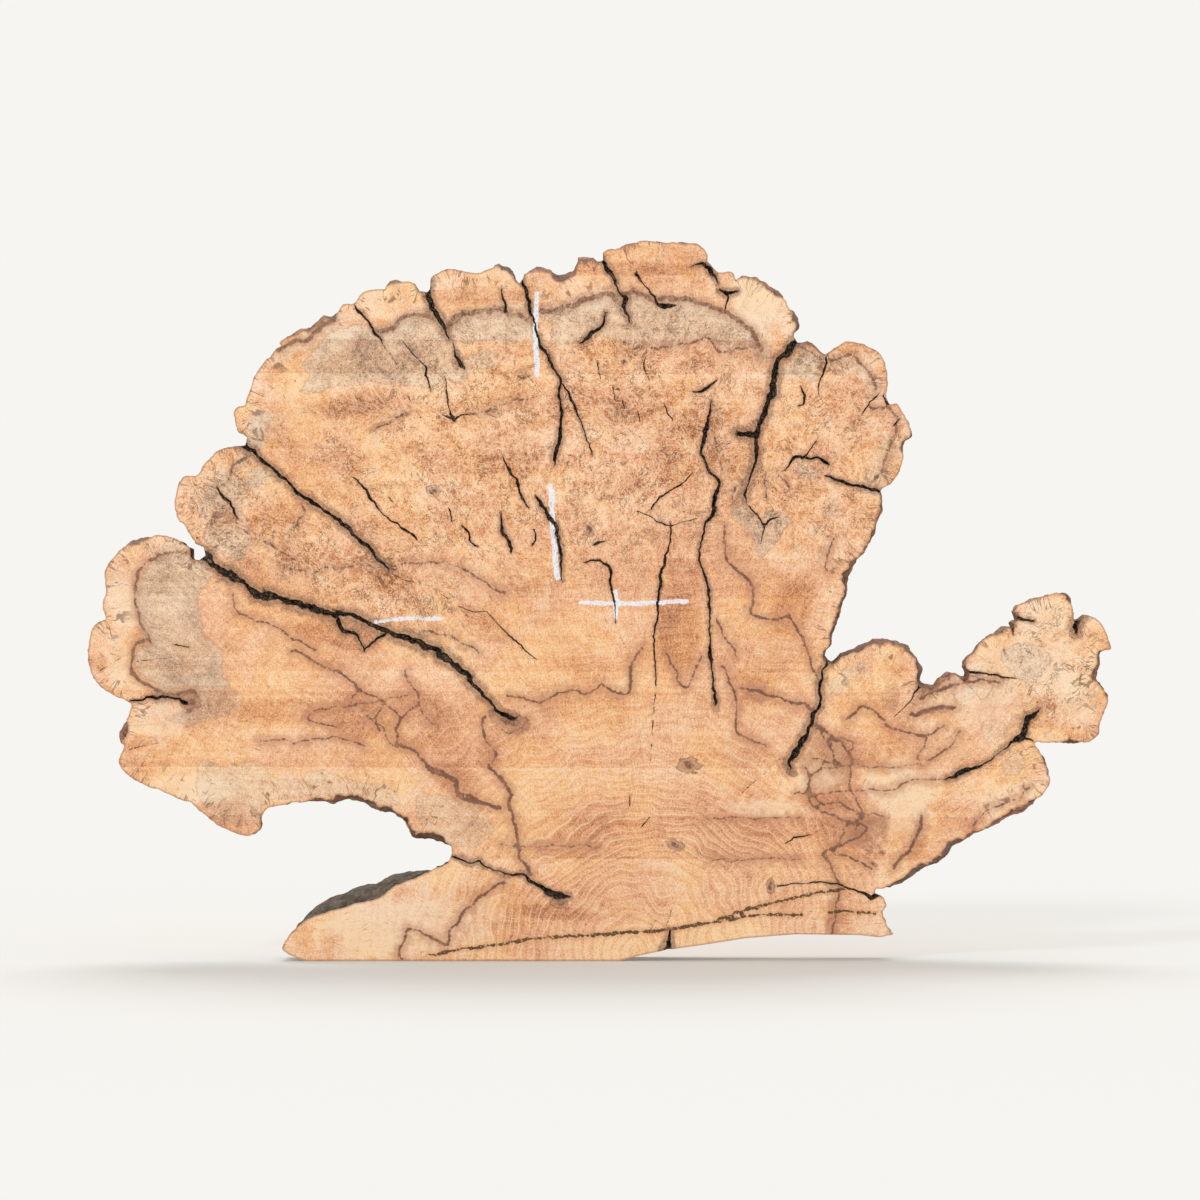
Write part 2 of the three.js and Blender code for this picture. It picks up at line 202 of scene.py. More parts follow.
# Dark brown lines where the wood has begun to decay, each a width and its points
ZONE_LINES = [
    (4, [(-115, 328), (-73, 321), (-42, 337), (-30, 337), (-18, 329), (3, 342), (27, 330), (34, 335),
     (48, 387)]),
    (2.5, [(35, 340), (40, 368), (54, 394)]),
    (3.5, [(82, 387), (99, 344), (106, 340), (111, 344), (125, 378)]),
    (4, [(-143, 303), (-147, 295), (-145, 285), (-130, 255), (-131, 248), (-139, 243)]),
    (6, [(-139, 243), (-112, 212), (-113, 200), (-100, 132), (-85, 105)]),
    (5, [(-252, 268), (-228, 258), (-213, 243), (-178, 222), (-175, 210), (-125, 190)]),
    (3, [(-327, 360), (-246, 302)]),
    (4, [(-243, 360), (-226, 334), (-226, 320), (-237, 315), (-253, 291), (-251, 273)]),
    (2.5, [(-226, 320), (-218, 305), (-206, 293)]),
    (2.5, [(-307, 317), (-359, 309), (-362, 299), (-324, 289)]),
    (2.2, [(-295, 341), (-307, 328), (-309, 317), (-269, 320)]),
    (2.2, [(140, 690), (146, 670), (141, 650), (152, 605)]), (3, [(205, 604), (203, 585), (207, 572)]),
    (2.5, [(222, 605), (233, 588)]), (2.5, [(290, 525), (277, 488), (283, 484)]),
    (4, [(186, 605), (178, 592), (166, 586), (162, 576), (166, 570)]), (6, [(-101, 725), (-90, 725)]),
    (5, [(-245, 5), (-248, 15), (-240, 38), (-225, 40), (-190, 20), (-185, 25), (-183, 40), (-152, 78),
     (-120, 98)]),
    (3, [(-455, 455), (-450, 432), (-425, 420), (-410, 418), (-355, 385)]),
    (4, [(-380, 384), (-318, 355), (-300, 340)]), (3, [(-372, 570), (-367, 555), (-388, 525)]),
    (2.5, [(-455, 548), (-440, 532), (-410, 518), (-382, 498)]),
    (4, [(25, 769), (35, 763), (61, 759), (97, 761), (135, 774), (149, 755), (187, 761), (199, 747),
     (215, 747)]),
    (4.5, [(153, 541), (158, 494), (191, 463), (187, 427), (225, 423), (234, 432), (260, 378), (270, 347)]),
    (3.5, [(144, 425), (168, 378)]), (4, [(151, 368), (168, 335), (170, 283), (206, 266)]),
    (5, [(177, 339), (232, 322), (253, 320), (259, 311)]),
    (4, [(265, 297), (280, 285), (285, 275), (300, 270), (315, 250)]),
    (4, [(255, 240), (260, 215), (275, 197), (298, 198), (325, 180)]),
    (4, [(305, 300), (325, 318), (345, 305), (355, 292), (393, 278), (410, 280), (420, 292)]),
    (3, [(410, 250), (430, 262), (445, 283)]), (4, [(275, 130), (302, 95)]),
    (6, [(400, 180), (393, 155), (365, 112)]), (5, [(400, 325), (430, 340), (460, 346), (495, 345)]),
    (8, [(385, 306), (420, 313), (440, 313)]), (3, [(-92, 295), (-97, 286), (-110, 282), (-122, 286)]),
    (3, [(-164, 676), (-104, 697), (-90, 694)]),
    (3, [(-396, 494), (-357, 479), (-340, 486), (-186, 494), (-118, 455)]),
    (3.5, [(264, 298), (298, 244), (259, 230), (258, 205), (262, 190), (332, 166)]),
    (3.5, [(332, 166), (322, 150), (278, 137), (283, 120), (298, 98), (288, 34)]),
    (3, [(-215, 410), (-200, 408), (-150, 385)]),
    (8, [(-215, 243), (-205, 233), (-178, 220), (-178, 208), (-165, 201), (-140, 197), (-125, 190)]),
    (4, [(-281, 658), (-239, 679)]), (1.2, [(133, 177), (249, 177)]), (1.2, [(133, 125), (249, 127)]),
    (1.2, [(-123, 142), (0, 142)]), (3, [(226, 245), (230, 235), (237, 231)]),
    (3, [(289, 279), (313, 270), (308, 222), (328, 177), (306, 169), (289, 133), (306, 131), (337, 118)]),
    (2, [(240, 208), (359, 213), (395, 226), (430, 226)]), (2, [(395, 248), (408, 283), (425, 292)]),
    (1.6, [(461, 169), (487, 191), (522, 204), (531, 213)]), (1.8, [(265, 248), (330, 240), (400, 243)]),
    (1.8, [(318, 160), (322, 175), (338, 184), (352, 180)]),
    (1.6, [(-420, 275), (-380, 272), (-330, 276), (-290, 268)]),
    (2, [(-290, 305), (-270, 290), (-262, 270), (-240, 262)]),
    (1.8, [(-240, 330), (-262, 322), (-280, 300), (-275, 285)]),
]

# The brown bands that follow the lobes a little way in, each a width and its points
BANDS = [
    (6, [(-400, 757), (-375, 770), (-360, 773), (-330, 797)]),
    (6, [(-278, 780), (-255, 787), (-250, 795), (-240, 800), (-212, 800), (-205, 795)]),
    (8, [(-195, 783), (-175, 802), (-145, 806), (-130, 806), (-88, 795)]),
    (8, [(-75, 806), (-45, 809), (5, 826), (15, 825), (22, 818)]),
    (7, [(32, 826), (40, 832), (68, 818), (80, 823), (110, 820), (125, 816), (152, 802), (165, 800),
     (185, 783), (198, 757)]),
    (4, [(242, 762), (255, 760), (273, 748)]),
    (4.5, [(284, 745), (303, 752), (315, 750), (333, 732), (340, 720), (342, 708)]),
    (4.5, [(333, 690), (342, 683), (355, 686), (365, 680), (370, 670), (368, 655), (352, 620), (350, 605),
     (338, 595)]),
    (4, [(-500, 500), (-515, 508), (-545, 505), (-565, 492), (-573, 482), (-578, 470), (-572, 425),
     (-568, 412), (-556, 397)]),
    (5, [(-565, 397), (-575, 392), (-583, 383), (-578, 358), (-570, 347), (-545, 333), (-530, 330),
     (-505, 335), (-500, 328), (-502, 315), (-512, 310)]),
    (4, [(-432, 628), (-458, 612), (-466, 590)]),
]

# The pitchy seam along the foot, each a width and its points
SEAMS = [
    (5, [(-212, 8), (-200, 8), (-170, 16), (-155, 16), (-80, 28), (80, 38), (140, 48)]),
    (4.5, [(140, 48), (155, 55), (200, 69), (270, 85), (303, 89)]), (4, [(140, 48), (200, 57), (249, 57)]),
    (4, [(284, 60), (305, 62), (340, 59)]),
]

# Plain chalk strokes, each a width and its points
CHALK = [
    (7, [(-78, 828), (-80, 790), (-78, 727)]), (7, [(-61, 590), (-58, 530), (-53, 475)]),
    (5, [(-278, 420), (-250, 424), (-228, 425), (-198, 424)]), (6, [(-24, 444), (40, 443), (108, 446)]),
    (6, [(19, 458), (20, 425)]),
]

# Soft patches of colour: kind, middle, half sizes along and across, and the turn in degrees
PATCHES = {
    "grey": [(250, 738, 26, 18, 20), (95, 143, 10, 6, -20), (123, 133, 7, 4, -30), (-480, 575, 34, 16, 60),
        (-425, 655, 30, 16, 60), (-425, 600, 20, 12, 40)],
    "brown": [(-325, 412, 40, 14, -32), (184, 338, 28, 17, -35), (282, 198, 32, 13, 0),
        (-292, 402, 24, 15, -40), (-240, 285, 40, 24, -50), (-180, 225, 34, 22, -30),
        (396, 148, 9, 30, -18), (335, 165, 30, 16, 20), (295, 48, 18, 24, 0), (-375, 494, 26, 9, 0),
        (30, 690, 90, 26, 0), (-300, 690, 60, 16, 10), (160, 640, 40, 60, 10), (-60, 60, 60, 10, -5),
        (-470, 540, 18, 26, 0), (190, 336, 26, 18, 0), (-265, 475, 60, 22, -40), (-330, 400, 60, 12, -15),
        (240, 440, 40, 26, 60), (-60, 700, 90, 20, 0), (-215, 300, 60, 34, -50), (95, 410, 60, 30, 90),
        (-150, 420, 60, 20, -30), (100, 650, 40, 70, 0), (30, 858, 120, 10, 0), (-150, 825, 70, 10, 0),
        (-400, 310, 70, 16, 0), (-300, 300, 40, 30, 0)],
    "cream": [(500, 350, 110, 46, 25), (372, 205, 46, 56, 0), (200, 190, 60, 12, 0), (275, 232, 30, 24, 0),
        (195, 815, 46, 26, -50), (-590, 450, 22, 46, 10), (-600, 370, 18, 30, 0), (325, 740, 34, 16, 0),
        (590, 340, 36, 50, 0), (-490, 215, 60, 18, 0), (505, 205, 40, 16, 20), (550, 420, 40, 26, 20),
        (-330, 765, 30, 12, 35), (-545, 300, 40, 22, 0), (-240, 45, 120, 40, 0)],
    "busy": [(-60, 650, 350, 185, 5), (260, 640, 140, 150, 0), (-480, 560, 110, 90, 40),
        (560, 370, 70, 90, 0), (-300, 480, 180, 60, -25)],
}

# Areas with a clear edge, greyed, browned and faintly greyed, each the points round it
STAINS = {
    "stain": [
        [(160, 557), (165, 548), (183, 535), (190, 523), (196, 501), (201, 501), (215, 514), (230, 537),
         (238, 545), (225, 556), (202, 562), (205, 552), (200, 548), (180, 570), (170, 572), (165, 568)],
        [(-465, 590), (-450, 600), (-440, 590), (-445, 560), (-428, 522), (-440, 505), (-452, 495),
         (-490, 520), (-493, 530), (-478, 560)],
        [(241, 604), (244, 612), (252, 618), (260, 614), (272, 608), (270, 600), (250, 596)],
        [(-580, 460), (-560, 493), (-530, 507), (-500, 503), (-483, 487), (-485, 467), (-497, 457),
         (-498, 440), (-493, 420), (-493, 407), (-468, 383), (-468, 353), (-460, 340), (-540, 340),
         (-563, 350), (-577, 367), (-580, 380), (-560, 393), (-568, 407), (-575, 430), (-577, 453)],
        [(-60, 762), (-60, 806), (-5, 824), (32, 826), (50, 829), (110, 820), (140, 808), (165, 800),
         (185, 783), (198, 757), (187, 761), (149, 755), (135, 774), (97, 761), (61, 759), (35, 763),
         (0, 775), (-30, 770)],
        [(-352, 760), (-335, 780), (-300, 790), (-280, 785), (-262, 788), (-250, 797), (-215, 800),
         (-195, 790), (-178, 760), (-165, 745), (-160, 730), (-172, 716), (-195, 722), (-205, 712),
         (-270, 715), (-285, 722), (-300, 712), (-320, 715), (-362, 702), (-372, 706), (-360, 725),
         (-370, 740)],
        [(-190, 783), (-183, 797), (-145, 804), (-118, 802), (-84, 790), (-84, 768), (-110, 765),
         (-140, 770), (-165, 766), (-185, 770)],
        [(-165, 750), (-145, 757), (-125, 752), (-128, 738), (-145, 732), (-160, 736)],
        [(500, 385), (515, 393), (545, 392), (556, 382), (560, 372), (545, 352), (530, 345), (515, 352),
         (498, 372)],
    ],
    "burnt": [
        [(271, 297), (313, 261), (311, 226), (293, 213), (266, 213), (244, 239), (262, 266)],
        [(322, 186), (346, 177), (359, 182), (356, 151), (335, 133), (306, 151), (306, 177)],
        [(348, 328), (356, 343), (368, 344), (372, 332), (364, 305), (350, 319)],
        [(368, 303), (408, 314), (439, 318), (434, 310), (372, 300)],
        [(386, 319), (408, 340), (430, 348), (460, 352), (500, 350), (497, 345), (460, 344), (430, 338),
         (410, 328), (390, 312)],
        [(386, 151), (390, 170), (398, 182), (400, 170), (394, 150), (384, 140)],
        [(522, 308), (510, 300), (503, 285), (501, 268), (512, 272), (528, 300)],
        [(178, 338), (186, 346), (206, 338), (212, 324), (200, 318), (184, 326)],
        [(278, 98), (300, 98), (298, 60), (292, 34), (280, 34), (284, 70)],
        [(163, 572), (163, 586), (182, 600), (184, 588), (178, 574), (200, 545), (194, 541), (180, 560)],
    ],
    "tint": [
        [(470, 283), (476, 297), (500, 297), (505, 285), (503, 268), (490, 268), (478, 276)],
        [(278, 328), (289, 350), (306, 365), (324, 369), (335, 367), (328, 358), (311, 350), (297, 332),
         (284, 323)],
        [(-500, 248), (-481, 249), (-468, 236), (-460, 244), (-436, 248), (-413, 244), (-412, 232),
         (-397, 225), (-372, 225), (-359, 236), (-340, 235), (-301, 222), (-275, 219), (-253, 209),
         (-247, 193), (-275, 193), (-307, 206), (-356, 206), (-404, 200), (-420, 190), (-421, 171),
         (-468, 171), (-490, 187), (-500, 209)],
        [(-500, 355), (-481, 358), (-462, 348), (-458, 336), (-443, 330), (-441, 318), (-468, 302),
         (-487, 296), (-510, 292), (-540, 300), (-500, 318)],
        [(-228, 205), (-180, 205), (-150, 190), (-130, 165), (-140, 150), (-160, 140), (-190, 145),
         (-215, 160), (-228, 180)],
        [(275, 566), (282, 572), (296, 576), (300, 566), (297, 552), (290, 544), (283, 546), (278, 555)],
        [(258, 535), (260, 543), (268, 545), (272, 535), (264, 523), (260, 524)],
        [(440, 320), (455, 322), (470, 335), (468, 342), (450, 340), (440, 330)],
        [(497, 245), (510, 262), (524, 258), (527, 245), (518, 232), (503, 228)],
        [(240, 742), (262, 756), (276, 744), (272, 722), (256, 716), (240, 728)],
    ],
}

# Knots and scars: middle, half sizes and the turn in degrees
KNOTS = [
    (-112, 298, 26, 13, -22), (-508, 322, 13, 11, 0), (-50, 72, 12, 7, -10), (212, 93, 6, 10, 0),
    (143, 320, 7, 12, 0), (110, 243, 17, 10, -5), (-207, 583, 9, 8, 0), (-129, 679, 11, 5, 0),
    (-177, 745, 8, 12, 0), (-14, 535, 7, 11, 20), (18, 679, 7, 5, 0), (30, 742, 5, 6, 0),
    (95, 143, 13, 7, -20), (236, 240, 8, 13, 30), (340, 120, 7, 3, -30), (350, 134, 6, 4, -20),
    (-470, 560, 8, 14, -20),
]

# Heights at which the saw was moved on, each of which left a step in the surface; there the wood is painted
# a step lighter or darker, as painted light and shade of each pass
SAW_STEPS = [81, 125, 140, 177, 193, 236, 281, 332, 357, 394, 413, 447, 498, 527, 563, 594, 627, 655, 692,
             726, 768]

# Stretches where bark shows past the wood's front edge: from, to and how much of it shows
BARK_RIMS = [
    ((-561, 527), (-589, 517), 5), ((-591, 295), (-597, 268), 9), ((-382, 779), (-330, 801), 7),
    ((-420, 745), (-385, 775), 5), ((-268, 837), (-253, 844), 5), ((-130, 866), (-102, 852), 5),
    ((-90, 857), (-58, 855), 5), ((-57, 853), (-33, 854), 10), ((-31, 866), (-5, 872), 7),
    ((18, 886), (45, 892), 3), ((60, 895), (105, 891), 3), ((167, 845), (228, 825), 7),
    ((243, 806), (248, 780), 5), ((256, 770), (280, 754), 4), ((385, 650), (378, 632), 5),
    ((350, 583), (330, 502), 4), ((320, 497), (306, 465), 8), ((305, 460), (287, 385), 4),
    ((290, 384), (403, 355), 5), ((405, 354), (450, 358), 6), ((490, 411), (512, 427), 4),
    ((575, 459), (592, 434), 4), ((621, 381), (617, 351), 9), ((626, 338), (632, 328), 5),
    ((598, 268), (579, 271), 4), ((540, 268), (561, 232), 6), ((541, 198), (480, 163), 6),
    ((467, 157), (362, 90), 8), ((-358, 197), (-190, 143), 6),
]


def resampled(path, step):
    """The path's points and other columns, evenly spaced by about step along its length."""
    path = np.array(path, float)
    lengths = np.r_[0, np.cumsum(np.hypot(*np.diff(path[:, :2], axis=0).T))]
    count = max(2, int(round(lengths[-1] / step)) + 1)
    at = np.linspace(0, lengths[-1], count)
    return np.column_stack([np.interp(at, lengths, column) for column in path.T])


def closed(ring):
    """The ring with its first point once more at the end."""
    return np.vstack([ring, ring[:1]])


def roughness(points, level, scales):
    """A rough surface's height at each point, from layers of (wavelength, height)."""
    return np.array([sum(high * noise.noise(Vector((x, level, z)) / long + Vector((long, 0, SEED)))
                         for long, high in scales) for x, z in points])


def bumps(points, level, long):
    """Soft noise from -1 to 1 at each point, with features as long as this."""
    return np.array([noise.noise(Vector((x / long, level, z / long))) for x, z in points])


def window(values, low, high):
    """0 below low, 1 above high and a smooth rise between."""
    share = np.clip((values - low) / (high - low), 0, 1)
    return share * share * (3 - 2 * share)


def turned(x, z, degrees):
    """The two places turned round the origin."""
    c, s = math.cos(math.radians(degrees)), math.sin(math.radians(degrees))
    return x * c - z * s, x * s + z * c


def middle_outline():
    """The CAD solid's outline half way through its thickness, clockwise seen from the front."""
    solid = bmesh.new()
    solid.from_mesh(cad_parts[NODE].data)
    bmesh.ops.remove_doubles(solid, verts=solid.verts, dist=WELD)
    everything = solid.verts[:] + solid.edges[:] + solid.faces[:]
    cut = bmesh.ops.bisect_plane(solid, geom=everything, plane_co=(0, OFF_MIDDLE, 0), plane_no=(0, 1, 0))
    edges = {part for part in cut["geom_cut"] if isinstance(part, bmesh.types.BMEdge)}
    start = min((end for edge in edges for end in edge.verts), key=lambda end: (end.co.z, end.co.x))
    ring = [start]
    edge = next(edge for edge in start.link_edges if edge in edges)
    while True:
        end = edge.other_vert(ring[-1])
        if end is start:
            break
        ring.append(end)
        edge = next(other for other in end.link_edges if other in edges and other is not edge)
    points = np.array([(end.co.x, end.co.z) for end in ring]) / MM
    solid.free()
    x, z = points.T
    area = np.sum(x * np.roll(z, -1) - np.roll(x, -1) * z)
    return points[::-1] if area > 0 else points


def outline_frame(ring):
    """The outline evenly spaced, and its direction straight out at each point."""
    even = resampled(closed(ring), EDGE_STEP)[:-1]
    smooth = (np.roll(even, 1, 0) + 2 * even + np.roll(even, -1, 0)) / 4
    along = np.roll(smooth, -2, 0) - np.roll(smooth, 2, 0)
    along = sum(np.roll(along, by, 0) for by in (2, 1, 0, -1, -2))
    outward = np.column_stack([-along[:, 1], along[:, 0]])
    return smooth, outward / np.linalg.norm(outward, axis=1)[:, None]


def smoothed(values, passes):
    """Values round a closed ring, softened by averaging neighbours."""
    for _ in range(passes):
        values = (np.roll(values, 1) + 2 * values + np.roll(values, -1)) / 4
    return values


def near(path, points, reach):
    """Which points lie within reach of a path: their numbers, distances, nearest samples and sides."""
    best = np.full(len(points), float(reach) ** 2)
    nearest = np.full(len(points), -1)
    for first in range(0, len(path), CHUNK):
        part = path[first:first + CHUNK, :2]
        low, high = part.min(0) - reach, part.max(0) + reach
        close = np.flatnonzero(np.all((points > low) & (points < high), axis=1))
        if not len(close):
            continue
        squares = ((points[close][:, None, :] - part[None]) ** 2).sum(2)
        closest = squares.argmin(1)
        squares = squares[np.arange(len(close)), closest]
        better = squares < best[close]
        best[close[better]] = squares[better]
        nearest[close[better]] = closest[better] + first
    chosen = np.flatnonzero(nearest >= 0)
    samples = nearest[chosen]
    along = np.gradient(path[:, :2], axis=0)[samples]
    offset = points[chosen] - path[samples, :2]
    side = np.sign(along[:, 0] * offset[:, 1] - along[:, 1] * offset[:, 0])
    return chosen, np.sqrt(best[chosen]), samples, side


class Crack:
    """A crack's jagged edges round its middle line, and how deep it is at any place."""

    def __init__(self, path, share, warp, seed):
        path = resampled(path, CRACK_STEP)
        if len(path) < 3:
            path = resampled(path, CRACK_STEP / 2)
        flat, width = path[:, :2], path[:, 2]
        along = np.gradient(flat, axis=0)
        self.across = np.column_stack([-along[:, 1], along[:, 0]])
        self.across /= np.linalg.norm(self.across, axis=1)[:, None]
        self.width = width * share
        wander = roughness(flat, 0, CRACK_WANDER) * np.minimum(1, width / 3)
        self.middle = warp(flat + self.across * wander[:, None])
        jag = np.random.default_rng(seed + len(path) + int(abs(path[0, 0])))
        swell = np.array([SWELL_MEAN + roughness(flat, level, CRACK_SWELL) for level in (20, 60)])
        swell = np.clip(swell + jag.uniform(-JAG, JAG, (2, len(path))), *SWELL_LIMITS)
        self.halves = [self.width / 2 * part for part in swell]
        self.depth = CRACK_DEPTH * np.clip(self.width / FULL_DEPTH_WIDTH, LEAST_DEPTH, 1)
        self.samples = resampled(np.column_stack([self.middle, *self.halves, self.depth]), FINE_STEP)

    def rims(self, share):
        """The crack's two edges, at a share of its half width."""
        return [self.middle + side * self.across * (half * share)[:, None]
                for side, half in zip((1, -1), self.halves)]

    def measure(self, points, reach):
        """Distances from the crack's edge, negative inside, and depths, for the points near it."""
        chosen, distance, nearest, side = near(self.samples, points, reach)
        left, right, depth = self.samples[nearest, 2:].T
        half = np.maximum(0.2, np.where(side > 0, left, right))
        share = distance / half
        wall = np.clip((FLOOR_EDGE - share) / WALL_WIDTH, 0, 1) ** 0.7
        depth = depth * (WALL_DEPTH * wall + (1 - WALL_DEPTH) * np.clip(1 - share, 0, 1))
        return chosen, distance - half, depth * (share < FLOOR_EDGE)


def inside(ring, points):
    """Which points lie inside a closed ring."""
    result = np.zeros(len(points), bool)
    for (x1, z1), (x2, z2) in zip(ring, np.roll(ring, -1, 0)):
        if z1 == z2:
            continue
        spans = (points[:, 1] >= min(z1, z2)) & (points[:, 1] < max(z1, z2))
        crossing = x1 + (points[spans, 1] - z1) / (z2 - z1) * (x2 - x1)
        result[spans] ^= points[spans, 0] < crossing
    return result


def field(ring, spacing, seed):
    """Points spread evenly but not in line over the inside of a ring."""
    draw = np.random.default_rng(seed)
    low, high = ring.min(0), ring.max(0)
    points = []
    for number, z in enumerate(np.arange(low[1], high[1], spacing * ROW_RISE)):
        x = np.arange(low[0] + (number % 2) * spacing / 2, high[0], spacing)
        points.append(np.column_stack([x, np.full(len(x), z)]))
    points = np.vstack(points)
    points += draw.uniform(-SPREAD, SPREAD, points.shape) * spacing
    return points[inside(ring, points)]


def crack_paths(cracks):
    """The lines that the mesh follows round and along each crack."""
    paths = []
    for crack in cracks:
        widest = crack.width.max()
        if widest < GROOVE_WIDTH:
            paths.append(crack.middle[::2])
            continue
        paths += [*crack.rims(1.0), crack.middle]
        if widest > 2 * GROOVE_WIDTH:
            paths += crack.rims(INNER_RIM)
    return paths


def face_triangles(ring, paths, spacing, seed):
    """Triangles over one sawn face. Its edges follow the ring and every path. Gives the points, the
    triangles, counter-clockwise, and the numbers of the ring's own points."""
    shore = resampled(closed(ring), FINE_STEP)
    count = len(ring)
    edges = [(index, (index + 1) % count) for index in range(count)]
    fixed = np.vstack(paths)
    kept = inside(ring, fixed)
    kept[near(shore, fixed, CLEAR_OF_EDGE)[0]] = False
    numbers = np.where(kept, count + np.cumsum(kept) - 1, -1)
    for run in np.split(numbers, np.cumsum([len(path) for path in paths])[:-1]):
        edges += [(a, b) for a, b in zip(run, run[1:]) if a >= 0 and b >= 0]
    loose = field(ring, spacing, seed)
    clear = np.ones(len(loose), bool)
    for path in [*paths, shore]:
        clear[near(resampled(path, 1.5), loose, CLEAR_OF_LINES)[0]] = False
    everything = np.vstack([ring, fixed[kept], loose[clear]])
    made = delaunay_2d_cdt([Vector(point) for point in everything], edges, [], 1, 1e-3, True)
    places, faces, originals = np.array(made[0]), np.array(made[2]), made[3]
    moved = {source: number for number, sources in enumerate(originals) for source in sources}
    order = np.array([moved[number] for number in range(count)])
    if len(set(order)) != count:
        raise ValueError("two of the outline's points fell together")
    return places, faces[covering(ring, order, places, faces)], order


def covering(ring, order, places, faces):
    """Which triangles lie inside the ring. One on the ring's edge is judged by its direction."""
    kept = inside(ring, places[faces].mean(1))
    position = np.full(len(places), -1)
    position[order] = np.arange(len(order))
    for start, end in ((0, 1), (1, 2), (2, 0)):
        a, b = position[faces[:, start]], position[faces[:, end]]
        on_ring = (a >= 0) & (b >= 0)
        kept[on_ring & (a == (b + 1) % len(order))] = True
        kept[on_ring & (b == (a + 1) % len(order))] = False
    return kept


def room(line):
    """How near the far side of a thin part, or of a gap, comes to each point of a closed line."""
    steps = np.abs(np.arange(len(line))[:, None] - np.arange(len(line))[None])
    along = np.minimum(steps, len(line) - steps) * EDGE_STEP
    away = np.linalg.norm(line[:, None] - line[None], axis=2)
    across = np.where(along > 1.3 * away + 1, away, FLARE * 3).min(1)
    return (across[None] + 0.5 * along).min(1)


class Edge:
    """The outline, what the saw left of it, and where each sawn face ends."""

    def __init__(self, cracks):
        self.line, self.outward = outline_frame(middle_outline())
        x, z = self.line.T
        between = (x > FOOT_ENDS[0]) & (x < FOOT_ENDS[1])
        is_sawn = (z < FOOT_TOP) & between & (self.outward[:, 1] < FACING_DOWN)
        self.live = smoothed(1.0 - is_sawn, 2)
        push = roughness(self.line, 0, EDGE_WOBBLE) * self.live - MOUTH_DEPTH * self.mouths(cracks)
        self.line = self.line + self.outward * push[:, None]
        limit = THIN_SHARE * room(self.line)
        self.rim = np.minimum(self.rims(), limit)
        chips = CHIP_DEPTH * np.abs(bumps(self.line, 40, 6)) * self.live
        self.front = self.line - self.outward * (self.rim + chips)[:, None]
        lumps = 0.5 + 0.5 * bumps(self.line, 9, 30)
        self.worn = -np.minimum((WORN_BACK[0] + WORN_BACK[1] * lumps) * self.live, limit)
        self.flare = self.flaring()
        self.back = self.line + self.outward * (self.worn + self.flare)[:, None]

    def mouths(self, cracks):
        """How far each point of the outline lies in the mouth of a crack, from 0 to 1."""
        share = np.zeros(len(self.line))
        for crack in cracks:
            reach = MOUTH_SHARE * crack.width[0] + 1.5
            away = np.linalg.norm(self.line - crack.middle[0], axis=1)
            if away.min() < MOUTH_NEAR and crack.width[0] > MOUTH_WIDTH:
                closest = self.line[away.argmin()]
                away = np.linalg.norm(self.line - closest, axis=1)
                share = np.maximum(share, 1 - window(away, reach * 0.3, reach))
        return share

    def rims(self):
        """How much bark shows past the front face at each point of the outline."""
        count = len(self.line)
        width = np.zeros(count)
        for *ends, shows in BARK_RIMS:
            first, last = (np.linalg.norm(self.line - end, axis=1).argmin() for end in ends)
            if (last - first) % count > (first - last) % count:
                first, last = last, first
            stretch = (first + np.arange((last - first) % count + 1)) % count
            width[stretch] = np.maximum(width[stretch], shows)
        return smoothed(width, 6) * np.maximum(0.2, 1.15 + roughness(self.line, 70, RIM_SWELL))

    def flaring(self):
        """How far the bark over the foot stands out at the back."""
        x, z = self.line.T
        start, end = FLARE_ENDS
        along = np.clip((x - start) / (end - start), 0, 1)
        over_foot = (z < FLARE_TOP) & (self.outward[:, 1] > 0)
        return smoothed(np.where(over_foot, FLARE * np.sin(along * math.pi), 0), 3)

    def offset(self, share):
        """How far the edge stands out from the outline, at a share of the way to the back."""
        to_front = 1 - window(share, 0, 0.2)
        to_back = max(0.0, 2 * share - 1)
        rough = roughness(self.line, FRONT + share * (BACK - FRONT), BARK_RELIEF) - BARK_SINK
        bounded = min(1, share / ROUND_OFF, (1 - share) / ROUND_OFF)
        return (-self.rim * to_front + self.worn * to_back ** 1.5 + self.flare * math.sqrt(to_back)
                + rough * bounded * self.live)


def as_drawn(points):
    """The front face's marks stay where they are drawn."""
    return points


def drifted(points):
    """The back's marks stray a little from the front's."""
    return points + BACK_DRIFT * np.column_stack([bumps(points, level, DRIFT_LENGTH) for level in (3, 8)])


